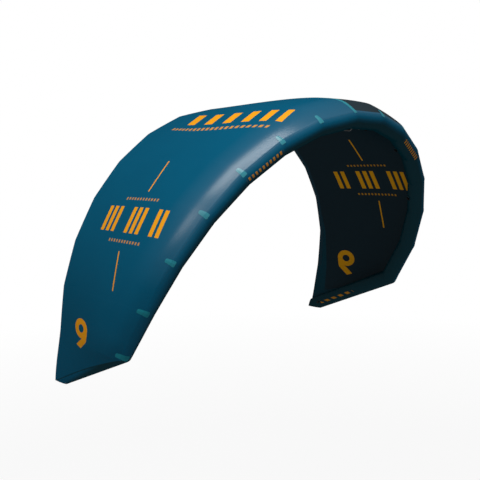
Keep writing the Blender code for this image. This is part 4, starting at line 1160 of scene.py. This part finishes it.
add_strip("centre_tape", centre_points, TAPE, teal_tape, nodes=["centre_seam_tape"])
for side, hand in HANDS:
    add_strip(f"seam_flap_{hand}", lambda lift: flap_points(side, lift), FLAP, blue_tube_cloth,
              "blue_dacron", stations=STATIONS)
    add_strip(f"trailing_hem_{hand}", lambda lift: hem_points(side, lift), TAPE, dark_tape,
              nodes=[f"trailing_edge_band_{hand}"])
print("tapes and hems ready")

# %% [markdown]
# ## Zip and webbing
#
# The zip under the strut lets the bladder out for repairs. Two tapes meet in a row of small teeth,
# and the slider of the CAD runs over them. The lines tie to loops of webbing: a strap lies along the
# tube, and a second one rises from it to an eye. Rows of thread hold both.

# %% Zip
ZIP_FRONT, ZIP_REAR = 0.50 * CHORD, 0.86 * CHORD
ZIP_ANGLE = radians(17)
ZIP_STOP = 0.006
TOOTH_PITCH, TOOTH_LIFT, TOOTH_ASIDE = 0.0026, 0.0009, 0.0011
TOOTH = (0.0030, 0.0011, 0.0006)


def zip_point(y, angle, grow):
    """A point on the straight rear part of the strut."""
    share = (y - STRUT_JOINT) / (STRUT_END - STRUT_JOINT)
    return strut.point(STRUT_STEPS + share, grow, angle)


def zip_tape_points(lift):
    rows = []
    for step in range(21):
        y = ZIP_FRONT + (ZIP_REAR - ZIP_FRONT) * step / 20
        rows.append([zip_point(y, pi + ZIP_ANGLE * (k / 4 - 1), lift) for k in range(9)])
    return rows


add_strip("zip_tape", zip_tape_points, TAPE, webbing, "black_webbing", ["strut_zip_tape"])


def bar_points(centre, ways, sizes):
    """The corners of a small bar, drawn in a little on top."""
    halves = [way * size / 2 for way, size in zip(ways, sizes)]
    return [centre + (halves[0] * a + halves[1] * b) * (1 - 0.25 * up) + halves[2] * 2 * up
            for up in (0, 1) for a, b in ((-1, -1), (1, -1), (1, 1), (-1, 1))]


BAR_FACES = ((0, 3, 2, 1), (4, 5, 6, 7), (0, 1, 5, 4), (1, 2, 6, 5), (2, 3, 7, 6), (3, 0, 4, 7))


def bars_mesh(name, bars):
    """One mesh of many small bars, each given as (centre, ways, sizes)."""
    points, faces = [], []
    for centre, ways, sizes in bars:
        shift = len(points)
        points += bar_points(centre, ways, sizes)
        faces += [tuple(i + shift for i in face) for face in BAR_FACES]
    return new_mesh(name, points, faces)


def zip_teeth():
    across, back, down = Vector((1, 0, 0)), Vector((0, 1, 0)), Vector((0, 0, -1))
    bars = []
    for step in range(int((ZIP_REAR - ZIP_FRONT - 2 * ZIP_STOP) / TOOTH_PITCH)):
        for side in (-1, 1):
            y = ZIP_FRONT + ZIP_STOP + (step + 0.25 * side) * TOOTH_PITCH
            centre = zip_point(y, pi, TOOTH_LIFT) + across * side * TOOTH_ASIDE
            bars.append((centre, (across, back, down), TOOTH))
    return bars_mesh("zip_teeth", bars)


teeth = add_piece(zip_teeth(), "black_plastic", FINISHES["black_plastic"])
print("zip teeth:", len(teeth.data.polygons) // len(BAR_FACES))

# %% Webbing loops
WEBBING, STRAP = 0.022, 0.0013
EYE_HALF, EYE_TOP = 0.0097, 0.0190
FOOT_HALF, BASE_HALF = 0.029, 0.030
SEAT, BASE_LIFT = 0.0014, 0.0002
CORNER, CORNER_STEPS = 0.0028, 6
LIES_BELOW = 0.008
STITCH_ROWS, STITCH_PITCH, STITCH_LEAN = (0.0042, 0.0032), 0.0026, 0.0008
STITCH = (0.0006, 0.0024, 0.0004)


def loop_frame(place, angle):
    point, along, _, out = leading.surface(place, angle)
    return Matrix((along, out.cross(along), out)).transposed(), point


def rounded(points):
    """A line through points in the plane, with an arc in place of each inner corner."""
    found = [points[0]]
    for a, b, c in zip(points, points[1:], points[2:]):
        start, end = b + (a - b).normalized() * CORNER, b + (c - b).normalized() * CORNER
        for t in [step / CORNER_STEPS for step in range(CORNER_STEPS + 1)]:
            found.append(start * (1 - t) ** 2 + b * 2 * t * (1 - t) + end * t * t)
    return found + [points[-1]]


def eye_line():
    """The eye strap's middle line as (along, out): a foot, up, over and down to the other foot."""
    low = SEAT + STRAP / 2
    right = [(EYE_HALF, EYE_TOP), (EYE_HALF, low), (FOOT_HALF, low)]
    return rounded([Vector((-x, z)) for x, z in right[::-1]] + [Vector(c) for c in right])


def strap_grid(frame_at, line, tube, aside):
    """The grid of one face of a strap along a line, bent across to the tube where it lies low."""
    turn, origin = frame_at
    rows = []
    for k, point in enumerate(line):
        run = (line[min(k + 1, len(line) - 1)] - line[max(k - 1, 0)]).normalized()
        place = point + Vector((-run.y, run.x)) * aside
        bend = max(0, 1 - point.y / LIES_BELOW) / (2 * tube)
        across = [WEBBING * (step / 6 - 0.5) for step in range(7)]
        rows.append([origin + turn @ Vector((place.x, y, place.y - y * y * bend)) for y in across])
    return rows


def thread_bars(frame_at, tube):
    """Rows of stitches across both feet of a loop."""
    turn, origin = frame_at
    out = turn @ Vector((0, 0, 1))
    bars = []
    for side in (-1, 1):
        for row in range(5):
            x = side * (EYE_HALF + STITCH_ROWS[0] + row * STITCH_ROWS[1])
            for step in range(7):
                across = STITCH_PITCH * (step - 3)
                lean = STITCH_LEAN * (1 if (step + row) % 2 else -1)
                place = Vector((x + lean, across, SEAT + STRAP - across * across / (2 * tube)))
                along = (turn @ Vector((lean, 0.0022, 0))).normalized()
                bars.append((origin + turn @ place, (out.cross(along), along, out), STITCH))
    return bars


def add_loop(name, place, angle):
    frame_at = loop_frame(place, angle)
    tube = leading.radii[round(place)]
    base = [Vector((BASE_HALF * k / 2, STRAP / 2 + BASE_LIFT)) for k in range(-2, 3)]
    for part, line, nodes in (("base", base, ()), ("eye", eye_line(), [name])):
        outer, inner = (strap_grid(frame_at, line, tube, aside) for aside in (STRAP / 2, -STRAP / 2))
        add_piece(cloth_mesh(f"{name}_{part}", outer, inner), "black_webbing", webbing, nodes=nodes)
    add_piece(bars_mesh(f"{name}_threads", thread_bars(frame_at, tube)), "teal_dacron", teal_tape)


for side, hand in HANDS:
    for number, segment in ((1, 3), (2, 5)):
        add_loop(f"front_line_loop_{hand}_{number}", MIDDLE + side * (segment - 0.5), radians(152))
    add_loop(f"rear_line_loop_{hand}", MIDDLE + side * (SEGMENTS + 0.86), radians(180))
add_loop("pump_leash_loop", MIDDLE + 0.82, radians(150))
print("webbing loops: 7")

# %% [markdown]
# ## Finishes on the CAD's own pieces
#
# Hard pieces keep their CAD shapes: the valve and its cap, the hose with its fittings and clip, and
# the zip's slider and pull. They only get the detailed finishes, matched by the slot that the CAD
# names.

# %% Finishes for CAD nodes
dressed = 0
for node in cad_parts.values():
    for slot in node.material_slots:
        name = slot.material.name.split(".")[0] if slot.material else ""
        if name in FINISHES and not node.hide_render:
            slot.material = FINISHES[name]
            dressed += 1
print("CAD pieces with new finishes:", dressed)
